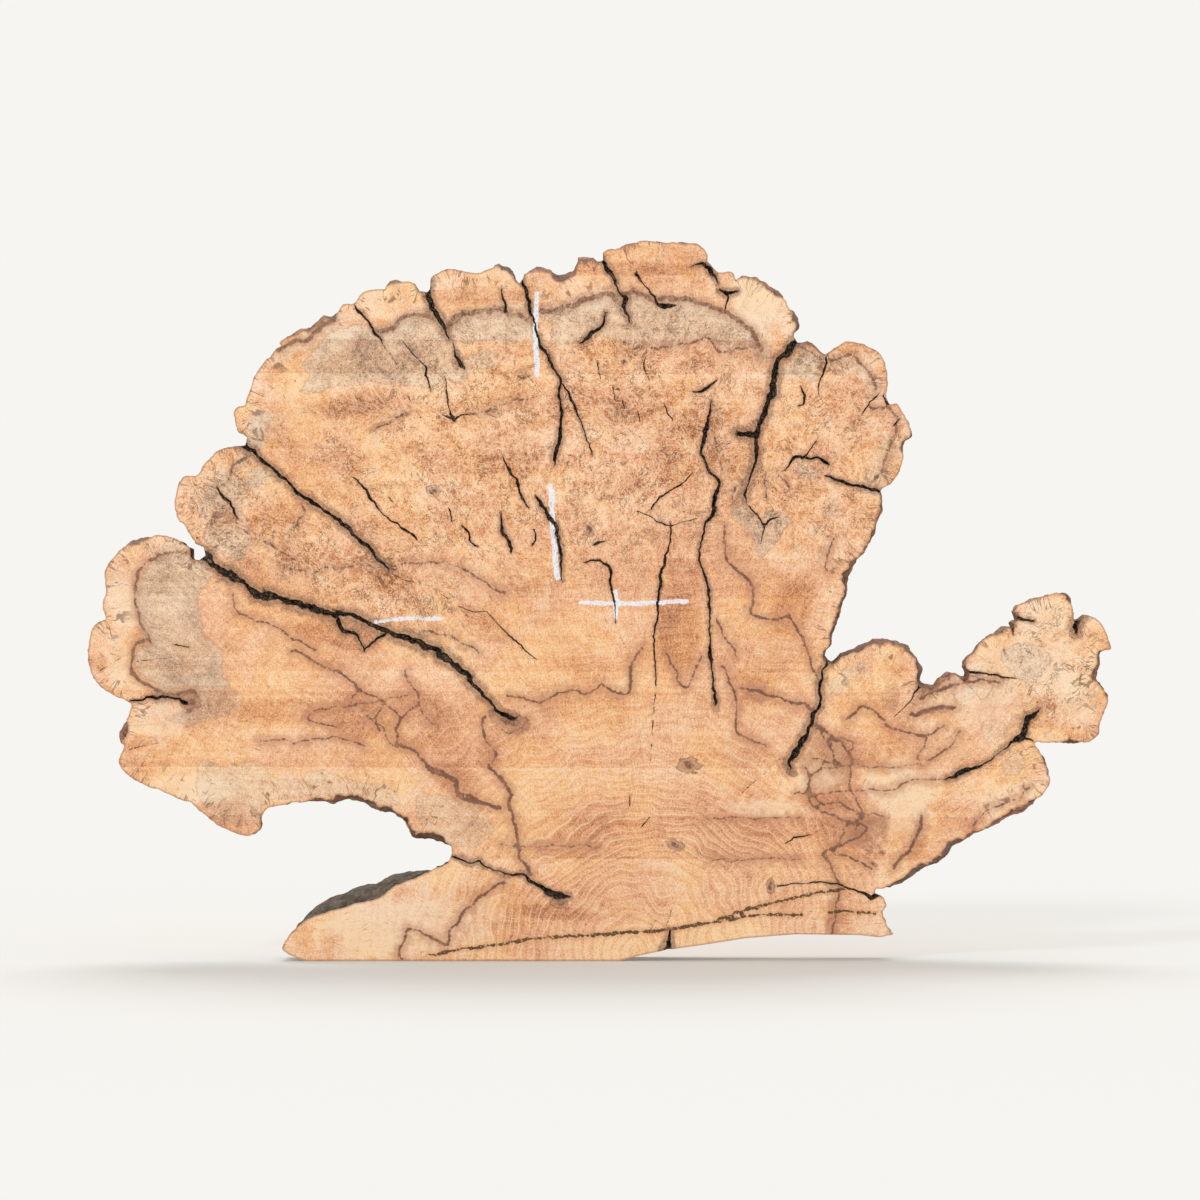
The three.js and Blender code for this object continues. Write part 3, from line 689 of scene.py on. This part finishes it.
class Face:
    """One sawn face, with the cracks and marks that show on it."""

    def __init__(self, level, side, ring, share, spacing, warp, jag):
        self.level, self.side, self.ring, self.spacing, self.warp = level, side, ring, spacing, warp
        self.cracks = [Crack(path, share, warp, jag) for path in CRACKS]
        self.zones = self.moved(ZONE_LINES, ZONE_SHARE)
        self.bands = self.moved(BANDS)
        self.seams = self.moved(SEAMS, SEAM_SHARE, SEAM_WAVER)
        self.chalk = CHALK if side > 0 else []

    def moved(self, marks, share=1.0, waving=1.0):
        """Each mark's width, at a share, and its wavering path as it runs on this face."""
        moved = []
        for width, path in marks:
            path = resampled(path, LINE_STEP)
            waver = np.column_stack([roughness(path, level, MARK_WAVER) for level in (0, 50)])
            moved.append((width * share, self.warp(path + waver * waving)))
        return moved

    def mesh(self):
        """The face's points, with its cracks sunk, its triangles and the order of its ring."""
        lines = [path for _, path in self.zones + self.bands + self.seams + self.chalk]
        lines += [self.warp(oval(knot, share)) for knot in KNOTS for share in (0.4, 0.8, 1.0)]
        paths = crack_paths(self.cracks) + [resampled(line, LINE_STEP) for line in lines]
        places, triangles, order = face_triangles(self.ring, paths, self.spacing, SEED + self.side)
        sunk = np.zeros(len(places))
        for crack in self.cracks:
            chosen, _, depth = crack.measure(places, 8.0)
            sunk[chosen] = np.maximum(sunk[chosen], depth)
        level = self.level + self.side * sunk
        return np.column_stack([places[:, 0], level, places[:, 1]]), triangles[:, ::self.side], order


def oval(knot, share):
    """A closed path round a knot, at a share of its size."""
    x, z, along, across, turn = knot
    angles = np.linspace(0, 2 * math.pi, 17)
    u, v = turned(along * share * np.cos(angles), across * share * np.sin(angles), turn)
    return np.column_stack([x + u, z + v])


def slab_mesh():
    """The whole slab's points and faces, where its edge's faces begin, its sawn faces and its edge."""
    edge = Edge([Crack(path, 1.0, as_drawn, SEED) for path in CRACKS])
    sawn = [Face(FRONT, 1, edge.front, 1.0, FRONT_SPACING, as_drawn, SEED),
            Face(BACK, -1, edge.back, BACK_CRACK_SHARE, BACK_SPACING, drifted, SEED + 1)]
    parts, faces, orders, starts = [], [], [], [0]
    for face in sawn:
        places, triangles, order = face.mesh()
        parts.append(places)
        faces += (triangles + starts[-1]).tolist()
        orders.append(order + starts[-1])
        starts.append(starts[-1] + len(places))
    front_y, back_y = (np.vstack(parts)[order, 1] for order in orders)
    rows = [orders[0]]
    for number in range(1, EDGE_ROWS):
        share = number / EDGE_ROWS
        share = share + 0.35 * (share * (1 - share)) * (2 * share - 1)
        flat = edge.line + edge.outward * edge.offset(share)[:, None]
        parts.append(np.column_stack([flat[:, 0], front_y * (1 - share) + back_y * share, flat[:, 1]]))
        rows.append(starts[-1] + (number - 1) * len(flat) + np.arange(len(flat)))
    rows.append(orders[1])
    sides = len(faces)
    for row, far_row in zip(rows, rows[1:]):
        ahead, far_ahead = np.roll(row, -1), np.roll(far_row, -1)
        for corners in ((row, ahead, far_row), (ahead, far_ahead, far_row)):
            faces += np.column_stack(corners).tolist()
    return np.vstack(parts), faces, sides, sawn, starts, edge


def made_object(name, places, faces):
    """An object from points in mm and faces."""
    mesh = bpy.data.meshes.new(name)
    mesh.from_pydata((places * MM).tolist(), [], faces)
    mesh.validate()
    piece = bpy.data.objects.new(name, mesh)
    bpy.context.scene.collection.objects.link(piece)
    return piece


# What each point of the slab measures, for its materials

FAR = 15.0
INLAND_REACH = 60.0
SHADE_REACH = 24.0
HEART = np.array([30.0, 300.0])
PATCH_REACH = 1.35  # where a patch ends, as a share of its oval


def distances(points, paths):
    """Distance from each point to the edge of the nearest path in mm, negative inside it."""
    result = np.full(len(points), FAR)
    for width, path in paths:
        chosen, distance, _, _ = near(resampled(path, FINE_STEP), points, FAR + width / 2)
        result[chosen] = np.minimum(result[chosen], distance - width / 2)
    return result


def oval_distance(points, x, z, along, across, turn):
    """Distance of each point from an oval's middle, where 1 is the oval's edge."""
    u, v = turned(points[:, 0] - x, points[:, 1] - z, -turn)
    return np.hypot(u / along, v / across)


def crack_values(points, cracks):
    """Distance from the nearest crack's edge, and how deep the stain beside it is."""
    crack = np.full(len(points), FAR)
    fringe = np.zeros(len(points))
    for each in cracks:
        chosen, distance, _ = each.measure(points, FAR + 6)
        crack[chosen] = np.minimum(crack[chosen], distance)
        width = each.width.mean()
        share = min(1, width / 5) * np.clip(1 - distance / (2.5 + 1.3 * width), 0, 1)
        fringe[chosen] = np.maximum(fringe[chosen], share)
    return crack, fringe


def shade_share(points, bands):
    """How dark the wood is on the inner side of the bands, from 0 to 1."""
    shade = np.zeros(len(points))
    for width, path in bands:
        chosen, distance, _, _ = near(resampled(path, FINE_STEP), points, SHADE_REACH)
        middle = np.mean(path, axis=0)
        inner = np.hypot(*(points[chosen] - HEART).T) < np.hypot(*(middle - HEART)) + width
        shade[chosen] = np.maximum(shade[chosen], (1 - distance / SHADE_REACH) * inner)
    return shade


def stain_distance(points, rings, warp):
    """Distance of each point from the nearest stain's edge in mm, negative inside one."""
    result = np.full(len(points), FAR)
    for ring in rings:
        ring = warp(np.array(ring, float))
        away = distances(points, [(0.0, closed(ring))])
        result = np.minimum(result, np.where(inside(ring, points), -away, away))
    return result


def face_values(face, points):
    """What every point of a sawn face measures."""
    crack, fringe = crack_values(points, face.cracks)
    chosen, distance, samples, _ = near(resampled(closed(face.ring), FINE_STEP), points, INLAND_REACH)
    inland = np.full(len(points), INLAND_REACH)
    inland[chosen] = distance
    around = np.zeros(len(points))
    around[chosen] = samples
    values = {"crack": crack, "fringe": fringe, "inland": inland, "around": around,
              "shade": shade_share(points, face.bands),
              "knot": np.min([oval_distance(points, *knot) for knot in KNOTS], axis=0)}
    marks = {"zone": face.zones, "band": face.bands, "seam": face.seams, "chalk": face.chalk}
    for name, paths in marks.items():
        values[name] = distances(points, paths)
    for name, rings in STAINS.items():
        values[name] = stain_distance(points, rings, face.warp)
    for name, ovals in PATCHES.items():
        nearest = np.min([oval_distance(points, *sizes) for sizes in ovals], axis=0)
        values[name] = np.clip(PATCH_REACH - nearest, 0, 1)
    return values


def measure(piece, places, sawn, starts):
    """Writes the attributes that the materials read. The edge's own points take the front's values."""
    ends = zip(starts, [*starts[1:], len(places)], [*sawn, sawn[0]])
    parts = [face_values(face, places[first:last, [0, 2]]) for first, last, face in ends]
    for name in parts[0]:
        layer = piece.data.attributes.new(name, "FLOAT", "POINT")
        layer.data.foreach_set("value", np.concatenate([part[name] for part in parts]).astype(np.float32))


# Materials

def rgb(red, green, blue):
    """A screen colour, 0 to 255, as the linear colour that a shader takes."""
    shares = [part / 255 for part in (red, green, blue)]
    return (*[part / 12.92 if part <= 0.04045 else ((part + 0.055) / 1.055) ** 2.4 for part in shares], 1.0)


# The wood's colour from its darkest tone to its lightest, as it is and where it has greyed
TONE_MIDDLE = 0.57
WOOD_TONES = [(0.05, rgb(138, 88, 64)), (0.3, rgb(196, 134, 97)), (0.48, rgb(226, 167, 128)),
              (0.63, rgb(239, 188, 148)), (0.85, rgb(250, 219, 190))]
GREY_TONES = [(0.1, rgb(116, 94, 80)), (0.35, rgb(164, 138, 116)), (0.6, rgb(206, 180, 156)),
              (0.85, rgb(232, 214, 192))]
CRUMB_TONES = [(0.46, rgb(78, 52, 34)), (0.58, rgb(112, 76, 48)), (0.66, rgb(216, 178, 124))]
# Painted shade in the cracks: near-black to brown tones that stand for the shadow down in each crack
CRACK_SHADE_TONES = [(0.4, rgb(34, 28, 25)), (0.52, rgb(88, 73, 61)), (0.64, rgb(178, 152, 128))]

# The figure's layers: wavelength, detail, roughness, twist, and weight where plain and where curly.
# The grain runs with the wood, and the streaks with the saw.
FIGURE = {
    "broad": (120.0, 3.0, 0.55, 0.0, 0.75, 0.4), "middling": (30.0, 4.0, 0.62, 0.9, 0.42, 1.15),
    "curl": (9.0, 3.0, 0.6, 2.4, 0.28, 0.95), "fine": (3.0, 2.0, 0.6, 1.0, 0.36, 0.6),
    "grit": (1.9, 1.0, 0.5, 0.0, 0.75, 0.8), "grain": (3.2, 4.0, 0.65, 0.0, 0.55, 0.45),
    "streaks": (9.0, 3.0, 0.8, 0.0, 0.35, 0.3),
}
FAN = (50.0, 0.0, 10.0)  # where the grain fans out from
FAN_SPREAD = 380.0  # turns an angle round the fan into mm
GRAIN_STRETCH = 0.14
SAW_STRETCH = 0.012
SLAB_HEIGHT = 900.0
# How strong the painted light and shade of the saw's passes is
SAW_LIGHT_SHARE = 0.29
RING_WIDTH = 11.5
AREA_SHARES = {"stain": 0.72, "tint": 0.45, "burnt": 0.48}


class Shader:
    """A material's node tree, written as sums, and the colour that is painted up in it."""

    def __init__(self, name):
        self.material = bpy.data.materials.new(name)
        self.material.use_nodes = True
        self.tree = self.material.node_tree

    def put(self, socket, value):
        if isinstance(value, bpy.types.NodeSocket):
            self.tree.links.new(value, socket)
        else:
            socket.default_value = value

    def node(self, kind, inputs, output=0, **settings):
        made = self.tree.nodes.new(kind)
        for name, value in settings.items():
            setattr(made, name, value)
        for name, value in inputs.items():
            self.put(made.inputs[name], value)
        return made.outputs[output]

    def sum(self, operation, *values):
        return self.node("ShaderNodeMath", dict(enumerate(values)), operation=operation)

    def add(self, first, *others):
        for other in others:
            first = self.sum("ADD", first, other)
        return first

    def times(self, first, *others):
        for other in others:
            first = self.sum("MULTIPLY", first, other)
        return first

    def swing(self, value, weight=1.0):
        """How far the value is above a half, times this weight."""
        return self.times(self.sum("SUBTRACT", value, 0.5), weight)

    def away(self, value, middle=0.5):
        """How far the value is from the middle, either way."""
        return self.sum("ABSOLUTE", self.sum("SUBTRACT", value, middle))

    def vector(self, operation, *values):
        return self.node("ShaderNodeVectorMath", dict(enumerate(values)), operation=operation)

    def read(self, name):
        return self.node("ShaderNodeAttribute", {}, "Fac", attribute_name=name)

    def cloud(self, long, detail=2.0, rough=0.5, twist=0.0, place=None, output=0):
        """Noise from 0 to 1, with features as long as this in mm, over the slab or another place."""
        inputs = {"Vector": self.at if place is None else place, "Scale": 1 / long, "Detail": detail,
                  "Roughness": rough, "Distortion": twist}
        return self.node("ShaderNodeTexNoise", inputs, output)

    def step(self, value, low, high, to_low=0.0, to_high=1.0):
        """The value's smooth way from low to high, as one from to_low to to_high."""
        inputs = {"Value": value, "From Min": low, "From Max": high, "To Min": to_low, "To Max": to_high}
        return self.node("ShaderNodeMapRange", inputs, interpolation_type="SMOOTHSTEP")

    def fall(self, value, low, high, strength=1.0):
        """The strength where the value is below low, and nothing where it is above high."""
        return self.step(value, low, high, strength, 0.0)

    def mix(self, share, first, second, blend="MIX"):
        inputs = {"Factor": share, 6: first, 7: second}
        return self.node("ShaderNodeMix", inputs, 2, data_type="RGBA", blend_type=blend)

    def paint(self, share, colour):
        """Lays a share of this colour over what is there."""
        self.colour = self.mix(share, self.colour, colour)

    def ramp(self, value, stops, kind="LINEAR"):
        made = self.tree.nodes.new("ShaderNodeValToRGB")
        made.color_ramp.interpolation = kind
        elements = made.color_ramp.elements
        for element, (position, colour) in zip(elements, (stops[0], stops[-1])):
            element.position = position
            element.color = colour
        for position, colour in stops[1:-1]:
            elements.new(position).color = colour
        self.put(made.inputs[0], value)
        return made.outputs[0]

    def split(self, vector):
        made = self.tree.nodes.new("ShaderNodeSeparateXYZ")
        self.put(made.inputs[0], vector)
        return made.outputs

    def join(self, x, y, z):
        return self.node("ShaderNodeCombineXYZ", {0: x, 1: y, 2: z})

    def bump(self, distance, *reliefs):
        """A bumpy surface's normal, from its reliefs and their weights, and its height in mm."""
        height = self.add(*[self.times(relief, weight) for relief, weight in reliefs])
        return self.node("ShaderNodeBump", {"Height": height, "Distance": distance * MM, "Strength": 1.0})

    def on_slab(self):
        """Reads the place on the slab in mm."""
        metres = self.node("ShaderNodeTexCoord", {}, "Object")
        self.at = self.vector("MULTIPLY", metres, (1 / MM, 1 / MM, 1 / MM))
        self.x, _, self.height = self.split(self.at)

    def surface(self, looks):
        """Sets the surface's sockets."""
        for name, value in looks.items():
            self.put(self.tree.nodes["Principled BSDF"].inputs[name], value)


class Wood(Shader):
    """Sawn oak burl. Each method paints its marks over those before."""

    def __init__(self, name):
        super().__init__(name)
        self.on_slab()
        self.out, self.turn = self.fan()
        self.busy = self.read("busy")
        self.inland = self.read("inland")
        self.uneven = self.step(self.cloud(7.0, 3.0, 0.65), 0.25, 0.75, -3.2, 3.2)
        self.along = self.join(self.times(self.turn, FAN_SPREAD), self.times(self.out, GRAIN_STRETCH), 0.0)
        for layer in (self.figure, self.plain_wood, self.areas, self.decay_lines, self.bands, self.seam,
                      self.knots, self.fine_checks, self.edge_checks, self.flecks, self.cracks, self.chalk):
            layer()
        relief = ((self.fine, 0.6), (self.curl, 0.6), (self.streaks, 0.5), (self.checks, -0.6))
        self.surface({"Base Color": self.colour, "Roughness": self.step(self.curl, 0.2, 0.8, 0.62, 0.88),
                      "Specular IOR Level": 0.25, "Normal": self.bump(0.9, *relief)})

    def fan(self):
        """The distance out from the foot, and the angle round it, along a grain that wavers."""
        bend = self.vector("SUBTRACT", self.cloud(90, output="Color"), (0.5, 0.5, 0.5))
        bend = self.vector("MULTIPLY", bend, (60.0, 60.0, 60.0))
        x, _, z = self.split(self.vector("SUBTRACT", self.vector("ADD", self.at, bend), FAN))
        out = self.sum("SQRT", self.add(self.times(x, x), self.times(z, z)))
        return out, self.sum("ARCTAN2", x, z)

    def figure(self):
        """The wood's own tone, from plain near the foot to curly in the crown, 0 dark and 1 light."""
        ways = {"grain": self.along, "streaks": self.join(self.times(self.x, SAW_STRETCH), 0.0, self.height)}
        self.tone = TONE_MIDDLE
        layers = {}
        for name, (*looks, plain, curly) in FIGURE.items():
            layers[name] = self.cloud(*looks, place=ways.get(name))
            weight = self.step(self.busy, 0.0, 1.0, plain, curly)
            self.tone = self.add(self.tone, self.swing(layers[name], weight))
        self.middling, self.curl, self.fine = layers["middling"], layers["curl"], layers["fine"]
        self.streaks = layers["streaks"]
        self.patchy = self.swing(self.middling, 1.4)

    def saw_pass_light_and_shade(self):
        """Painted light and shade of each pass of the saw, as if each cut caught the light a little
        differently: it jumps at every step and fades between them.
        """
        tones = np.random.default_rng(SEED + 3).uniform(0.1, 0.9, len(SAW_STEPS) + 1)
        levels = [0.0] + [step / SLAB_HEIGHT for step in SAW_STEPS]
        jumps = [(level, (tone, tone, tone, 1)) for level, tone in zip(levels, tones)]
        fades = [(level, [1 - (before + after) / 2] * 3 + [1])
                 for level, before, after in zip(levels, [0.5, *tones], tones)]
        at = self.add(self.sum("DIVIDE", self.height, SLAB_HEIGHT), self.times(self.x, 3e-6))
        return self.sum("SUBTRACT", self.add(self.ramp(at, jumps, "CONSTANT"), self.ramp(at, fades)), 1.0)

    def growth_rings(self):
        """Pale lines between the years, crumpled far from the foot, and how far through a year it is."""
        wander = self.swing(self.cloud(80.0), 60.0)
        crumple = self.swing(self.cloud(15.0, 3.0, 0.6, 1.0), 60.0)
        age = self.add(self.out, wander, self.times(crumple, self.busy))
        phase = self.sum("FRACT", self.sum("DIVIDE", age, RING_WIDTH))
        broken = self.step(self.cloud(42.0), 0.36, 0.54, 0.15, 1.0)
        return self.times(self.fall(self.away(phase), 0.02, 0.12), broken), phase

    def plain_wood(self):
        """The tone, where it has browned or paled, the painted light and shade of the saw's passes, its
        warmth, soft grey patches and growth rings.
        """
        ring, phase = self.growth_rings()
        brown = self.step(self.add(self.read("brown"), self.patchy), 0.15, 0.75)
        cream = self.step(self.add(self.read("cream"), self.patchy), 0.1, 0.8)
        self.tone = self.add(
            self.tone, self.swing(phase, self.step(self.out, 150, 400, 0.16, 0.07)),
            self.times(self.saw_pass_light_and_shade(), SAW_LIGHT_SHARE), self.times(brown, -0.2), self.times(cream, 0.13),
            self.fall(self.inland, 6.0, 45.0, 0.06), self.times(self.busy, -0.035))
        self.greyed = self.ramp(self.tone, GREY_TONES)
        warmth = self.step(self.cloud(62.0, 3.0, 0.55), 0.42, 0.6, 0.0, 0.75)
        self.colour = self.mix(warmth, self.ramp(self.tone, WOOD_TONES), rgb(255, 247, 220), "MULTIPLY")
        self.paint(self.step(self.add(self.read("grey"), self.patchy), 0.15, 0.7, 0.0, 0.72), self.greyed)
        self.paint(self.times(cream, 0.34), rgb(240, 216, 190))
        self.paint(self.times(ring, self.step(self.out, 110, 400, 0.62, 0.2)), rgb(252, 220, 178))

    def areas(self):
        """Greyed and browned areas, each with a darker border."""
        burnt = self.mix(self.step(self.tone, 0.3, 0.8), rgb(136, 92, 72), rgb(206, 158, 128))
        fullness = self.step(self.middling, 0.3, 0.6, 1.1, 0.75)
        for name, share in AREA_SHARES.items():
            edge = self.add(self.read(name), self.times(self.uneven, 0.7))
            look = burnt if name == "burnt" else self.greyed
            self.paint(self.times(self.fall(edge, -2.0, 0.8, share), fullness), look)
            self.paint(self.fall(self.sum("ABSOLUTE", edge), 0.2, 1.6, 0.6 * share), rgb(166, 124, 100))

    def decay_lines(self):
        """Broken dark lines with a brown stain round them."""
        rugged = self.swing(self.fine, 4.5)
        zone = self.add(self.read("zone"), self.add(self.times(self.uneven, 0.28), rugged))
        self.paint(self.fall(self.add(zone, self.uneven), 0.0, 12.0, 0.6), rgb(190, 132, 100))
        broken = self.step(self.middling, 0.36, 0.54, 0.6, 1.0)
        self.paint(self.times(self.fall(zone, -0.5, 0.9, 0.95), broken), rgb(118, 80, 64))

    def bands(self):
        """The brown bands that follow the lobes, and the greyer wood inside them."""
        self.paint(self.step(self.add(self.read("shade"), self.patchy), 0.1, 0.8, 0.0, 0.5), self.greyed)
        band = self.add(self.read("band"), self.times(self.uneven, 0.5))
        self.paint(self.fall(band, 0.0, 8.0, 0.5), rgb(186, 134, 104))
        dark = self.mix(self.step(self.fine, 0.4, 0.6), rgb(108, 76, 60), rgb(154, 110, 86))
        self.paint(self.fall(band, -1.5, 0.6, 0.9), dark)

    def seam(self):
        """The seam along the foot, crumbly and dark in a warm brown border."""
        seam = self.add(self.read("seam"), self.times(self.uneven, 0.5))
        self.paint(self.fall(seam, 0.0, 5.0, 0.45), rgb(204, 146, 98))
        crumbs = self.ramp(self.cloud(3.4, 3.0, 0.65), CRUMB_TONES)
        self.paint(self.fall(seam, -0.4, 0.3, 0.96), crumbs)

    def knots(self):
        """Brown knots, each with a broken dark rim and a dark heart."""
        knot = self.add(self.read("knot"), self.swing(self.cloud(7.0, 3.0), 1.3))
        self.paint(self.fall(knot, 0.7, 1.15, 0.7), rgb(178, 128, 100))
        rim = self.fall(self.away(knot, 0.9), 0.02, 0.14, 0.6)
        self.paint(self.times(rim, self.step(self.middling, 0.4, 0.55, 0.3, 1.0)), rgb(108, 76, 60))
        self.paint(self.fall(knot, 0.25, 0.6, 0.85), rgb(94, 66, 52))

    def fine_checks(self):
        """Fine winding checks and pale curls, strongest where the figure is curliest."""
        winding = self.join(self.times(self.turn, FAN_SPREAD * 1.3), self.times(self.out, 0.6), 0.0)
        lively = self.step(self.busy, 0.1, 0.8, 0.1, 1.0)
        curls = self.fall(self.away(self.cloud(16.0, 4.0, 0.6, 2.2, winding), 0.52), 0.01, 0.05)
        self.paint(self.times(curls, lively, 0.5), rgb(250, 216, 180))
        checks = self.fall(self.away(self.cloud(9.0, 3.0, 0.6, 1.6, winding)), 0.006, 0.024)
        self.checks = self.times(checks, self.step(self.cloud(24.0, 3.0, 0.65), 0.5, 0.58), lively)
        self.paint(self.times(self.checks, 0.6), rgb(122, 78, 54))

    def edge_checks(self):
        """Hair-thin checks that run in from the live edge."""
        across = self.join(self.read("around"), self.times(self.inland, 0.1), 0.0)
        hair = self.fall(self.away(self.cloud(17.0, 4.0, 0.65, place=across)), 0.004, 0.015, 0.9)
        broken = self.step(self.cloud(26.0, 3.0, 0.6), 0.46, 0.53)
        above_foot = self.step(self.height, 140.0, 190.0, 0.0, 0.8)
        at_edge = self.fall(self.inland, 14.0, 46.0)
        self.paint(self.times(hair, broken, above_foot, at_edge), rgb(126, 86, 66))

    def flecks(self):
        """Dark flecks along the grain, and the thin brown line at the very edge."""
        flecks = self.step(self.cloud(1.8, place=self.along), 0.61, 0.7)
        scattered = self.step(self.cloud(17.0), 0.5, 0.62, 0.0, 0.6)
        self.paint(self.times(flecks, scattered), rgb(140, 94, 68))
        self.paint(self.fall(self.inland, 0.6, 3.2, 0.6), rgb(160, 112, 86))

    def cracks(self):
        """The stain beside the cracks, and painted shade in them: dark tones that stand for the shadow down
        in each crack.
        """
        fringe = self.add(self.read("fringe"), self.add(self.patchy, self.swing(self.curl)))
        stained = self.mix(self.step(self.fine, 0.4, 0.6), rgb(122, 90, 70), rgb(176, 132, 104))
        self.paint(self.step(fringe, 0.2, 0.75, 0.0, 0.75), stained)
        ragged = self.step(self.cloud(3.2, 3.0, 0.7), 0.25, 0.75, -0.6, 0.9)
        # Painted shade: the inside of each crack, with ragged edges, is laid in near-black to brown tones
        # for the shadow down in it
        self.crack = self.fall(self.add(self.read("crack"), ragged), -0.3, 0.3)
        self.paint(self.crack, self.ramp(self.cloud(4.2, 3.0, 0.7, 1.2), CRACK_SHADE_TONES))

    def chalk(self):
        """Dusty chalk, but not down in the cracks."""
        dusty = self.step(self.cloud(2.2, 3.0, 0.7), 0.35, 0.49, 0.25, 1.0)
        stroke = self.fall(self.add(self.read("chalk"), self.times(self.uneven, 0.35)), -1.0, 0.5)
        whole = self.sum("SUBTRACT", 1.0, self.crack)
        self.paint(self.times(stroke, dusty, whole), rgb(234, 236, 244))


class Bark(Shader):
    """Burl bark: dark, knobbly and flaking, redder where it has broken, and grey over the foot, painted
    darker there as well with painted shade on the back of the bark over the foot.
    """

    def __init__(self, name):
        super().__init__(name)
        self.on_slab()
        lumps = self.cloud(14.0, 4.0, 0.62, 0.6)
        scales = self.cloud(4.5, 3.0, 0.65, 1.5)
        lumpy = self.step(lumps, 0.35, 0.65)
        self.colour = self.mix(lumpy, rgb(112, 76, 62), rgb(178, 130, 104))
        self.paint(self.step(self.cloud(40.0, 3.0), 0.45, 0.65, 0.0, 0.7), rgb(122, 108, 96))
        # Over the foot the bark is laid in dark grey: partly its own grey, partly painted shade where the
        # back of the bark lies in shadow
        over_foot = self.times(self.fall(self.x, -190.0, -150.0, 0.85), self.fall(self.height, 128.0, 140.0))
        self.paint(over_foot, self.mix(lumpy, rgb(66, 61, 53), rgb(108, 100, 88)))
        self.paint(self.fall(scales, 0.34, 0.46, 0.75), rgb(50, 38, 33))
        self.surface({"Base Color": self.colour, "Roughness": self.step(scales, 0.2, 0.8, 0.75, 0.97),
                      "Specular IOR Level": 0.2, "Normal": self.bump(1.4, (lumps, 2.0), (scales, 1.6))})


def burl():
    """The slab as one piece, in place of the CAD solid."""
    places, faces, sides, sawn_faces, starts, edge = slab_mesh()
    piece = made_object("oak_burl_slab", places, faces)
    measure(piece, places, sawn_faces, starts)
    for look in (Wood("sawn_burl"), Bark("burl_bark")):
        piece.data.materials.append(look.material)
    slots = np.zeros(len(faces), np.int32)
    slots[sides:] = np.tile(edge.live > 0.5, 2 * EDGE_ROWS)
    piece.data.polygons.foreach_set("material_index", slots)
    piece.data.polygons.foreach_set("use_smooth", np.ones(len(faces), bool))
    piece.data.set_sharp_from_angle(angle=math.radians(SHARP_ANGLE))
    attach(piece, "root")
    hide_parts(NODE)


# The room, in metres

CAMERA_AWAY = 6.0
FRAME_WIDTH = 1.488
SENSOR = 36.0
PALE = (246, 245, 241)
FLOOR_ALBEDO = 0.5
FLOOR_RADIUS = 150.0
FLOOR_SIDES = 64
FLOOR_DROP = 0.0005
LAMPS = {  # the way to each lamp, its spread in degrees and its power
    "front_lamp": ((-0.55, -1.0, 0.75), 12.0, 0.75),
    "top_lamp": ((0.0, 0.62, 1.0), 34.0, 1.65),
}


def rise(way):
    """How steeply light from this way falls on the floor, from 0 level to 1 straight down."""
    return Vector(way).normalized().z


def backdrop():
    """A wide flat floor that glows just enough to match the sky where no shadow falls on it."""
    turns = np.linspace(0, 2 * math.pi, FLOOR_SIDES, endpoint=False)
    rim = np.column_stack([np.cos(turns), np.sin(turns), np.zeros(FLOOR_SIDES)]) * (FLOOR_RADIUS / MM)
    floor = made_object("floor", rim, [list(range(FLOOR_SIDES))])
    floor.location.z = cad_low.z - FLOOR_DROP
    paper = Shader("pale_floor")
    lamps = sum(power * rise(way) / math.pi for way, _, power in LAMPS.values())
    glow = [sky - FLOOR_ALBEDO * (sky + lamps) for sky in rgb(*PALE)[:3]]
    paper.surface({"Base Color": (FLOOR_ALBEDO, FLOOR_ALBEDO, FLOOR_ALBEDO, 1), "Roughness": 1.0,
                   "Specular IOR Level": 0.0, "Emission Color": (*glow, 1), "Emission Strength": 1.0})
    floor.data.materials.append(paper.material)


def studio():
    """A pale sky all round, two soft lamps, and the camera."""
    scene = bpy.context.scene
    scene.view_settings.view_transform = "Standard"
    world = bpy.data.worlds.new("studio")
    world.use_nodes = True
    sky = world.node_tree.nodes["Background"].inputs
    sky["Color"].default_value = rgb(*PALE)
    sky["Strength"].default_value = 1.0
    scene.world = world
    for name, (way, spread, power) in LAMPS.items():
        data = bpy.data.lights.new(name, "SUN")
        data.energy = power
        data.angle = math.radians(spread)
        lamp = bpy.data.objects.new(name, data)
        lamp.rotation_euler = Vector(way).to_track_quat("Z", "Y").to_euler()
        scene.collection.objects.link(lamp)
    camera = bpy.data.cameras.new("camera")
    camera.sensor_width = SENSOR
    camera.lens = SENSOR * CAMERA_AWAY / FRAME_WIDTH
    view = bpy.data.objects.new("camera", camera)
    view.location = (0, cad_low.y - CAMERA_AWAY, (cad_low.z + cad_high.z) / 2)
    view.rotation_euler = (math.radians(90), 0, 0)
    scene.collection.objects.link(view)
    scene.camera = view


studio()
backdrop()
burl()
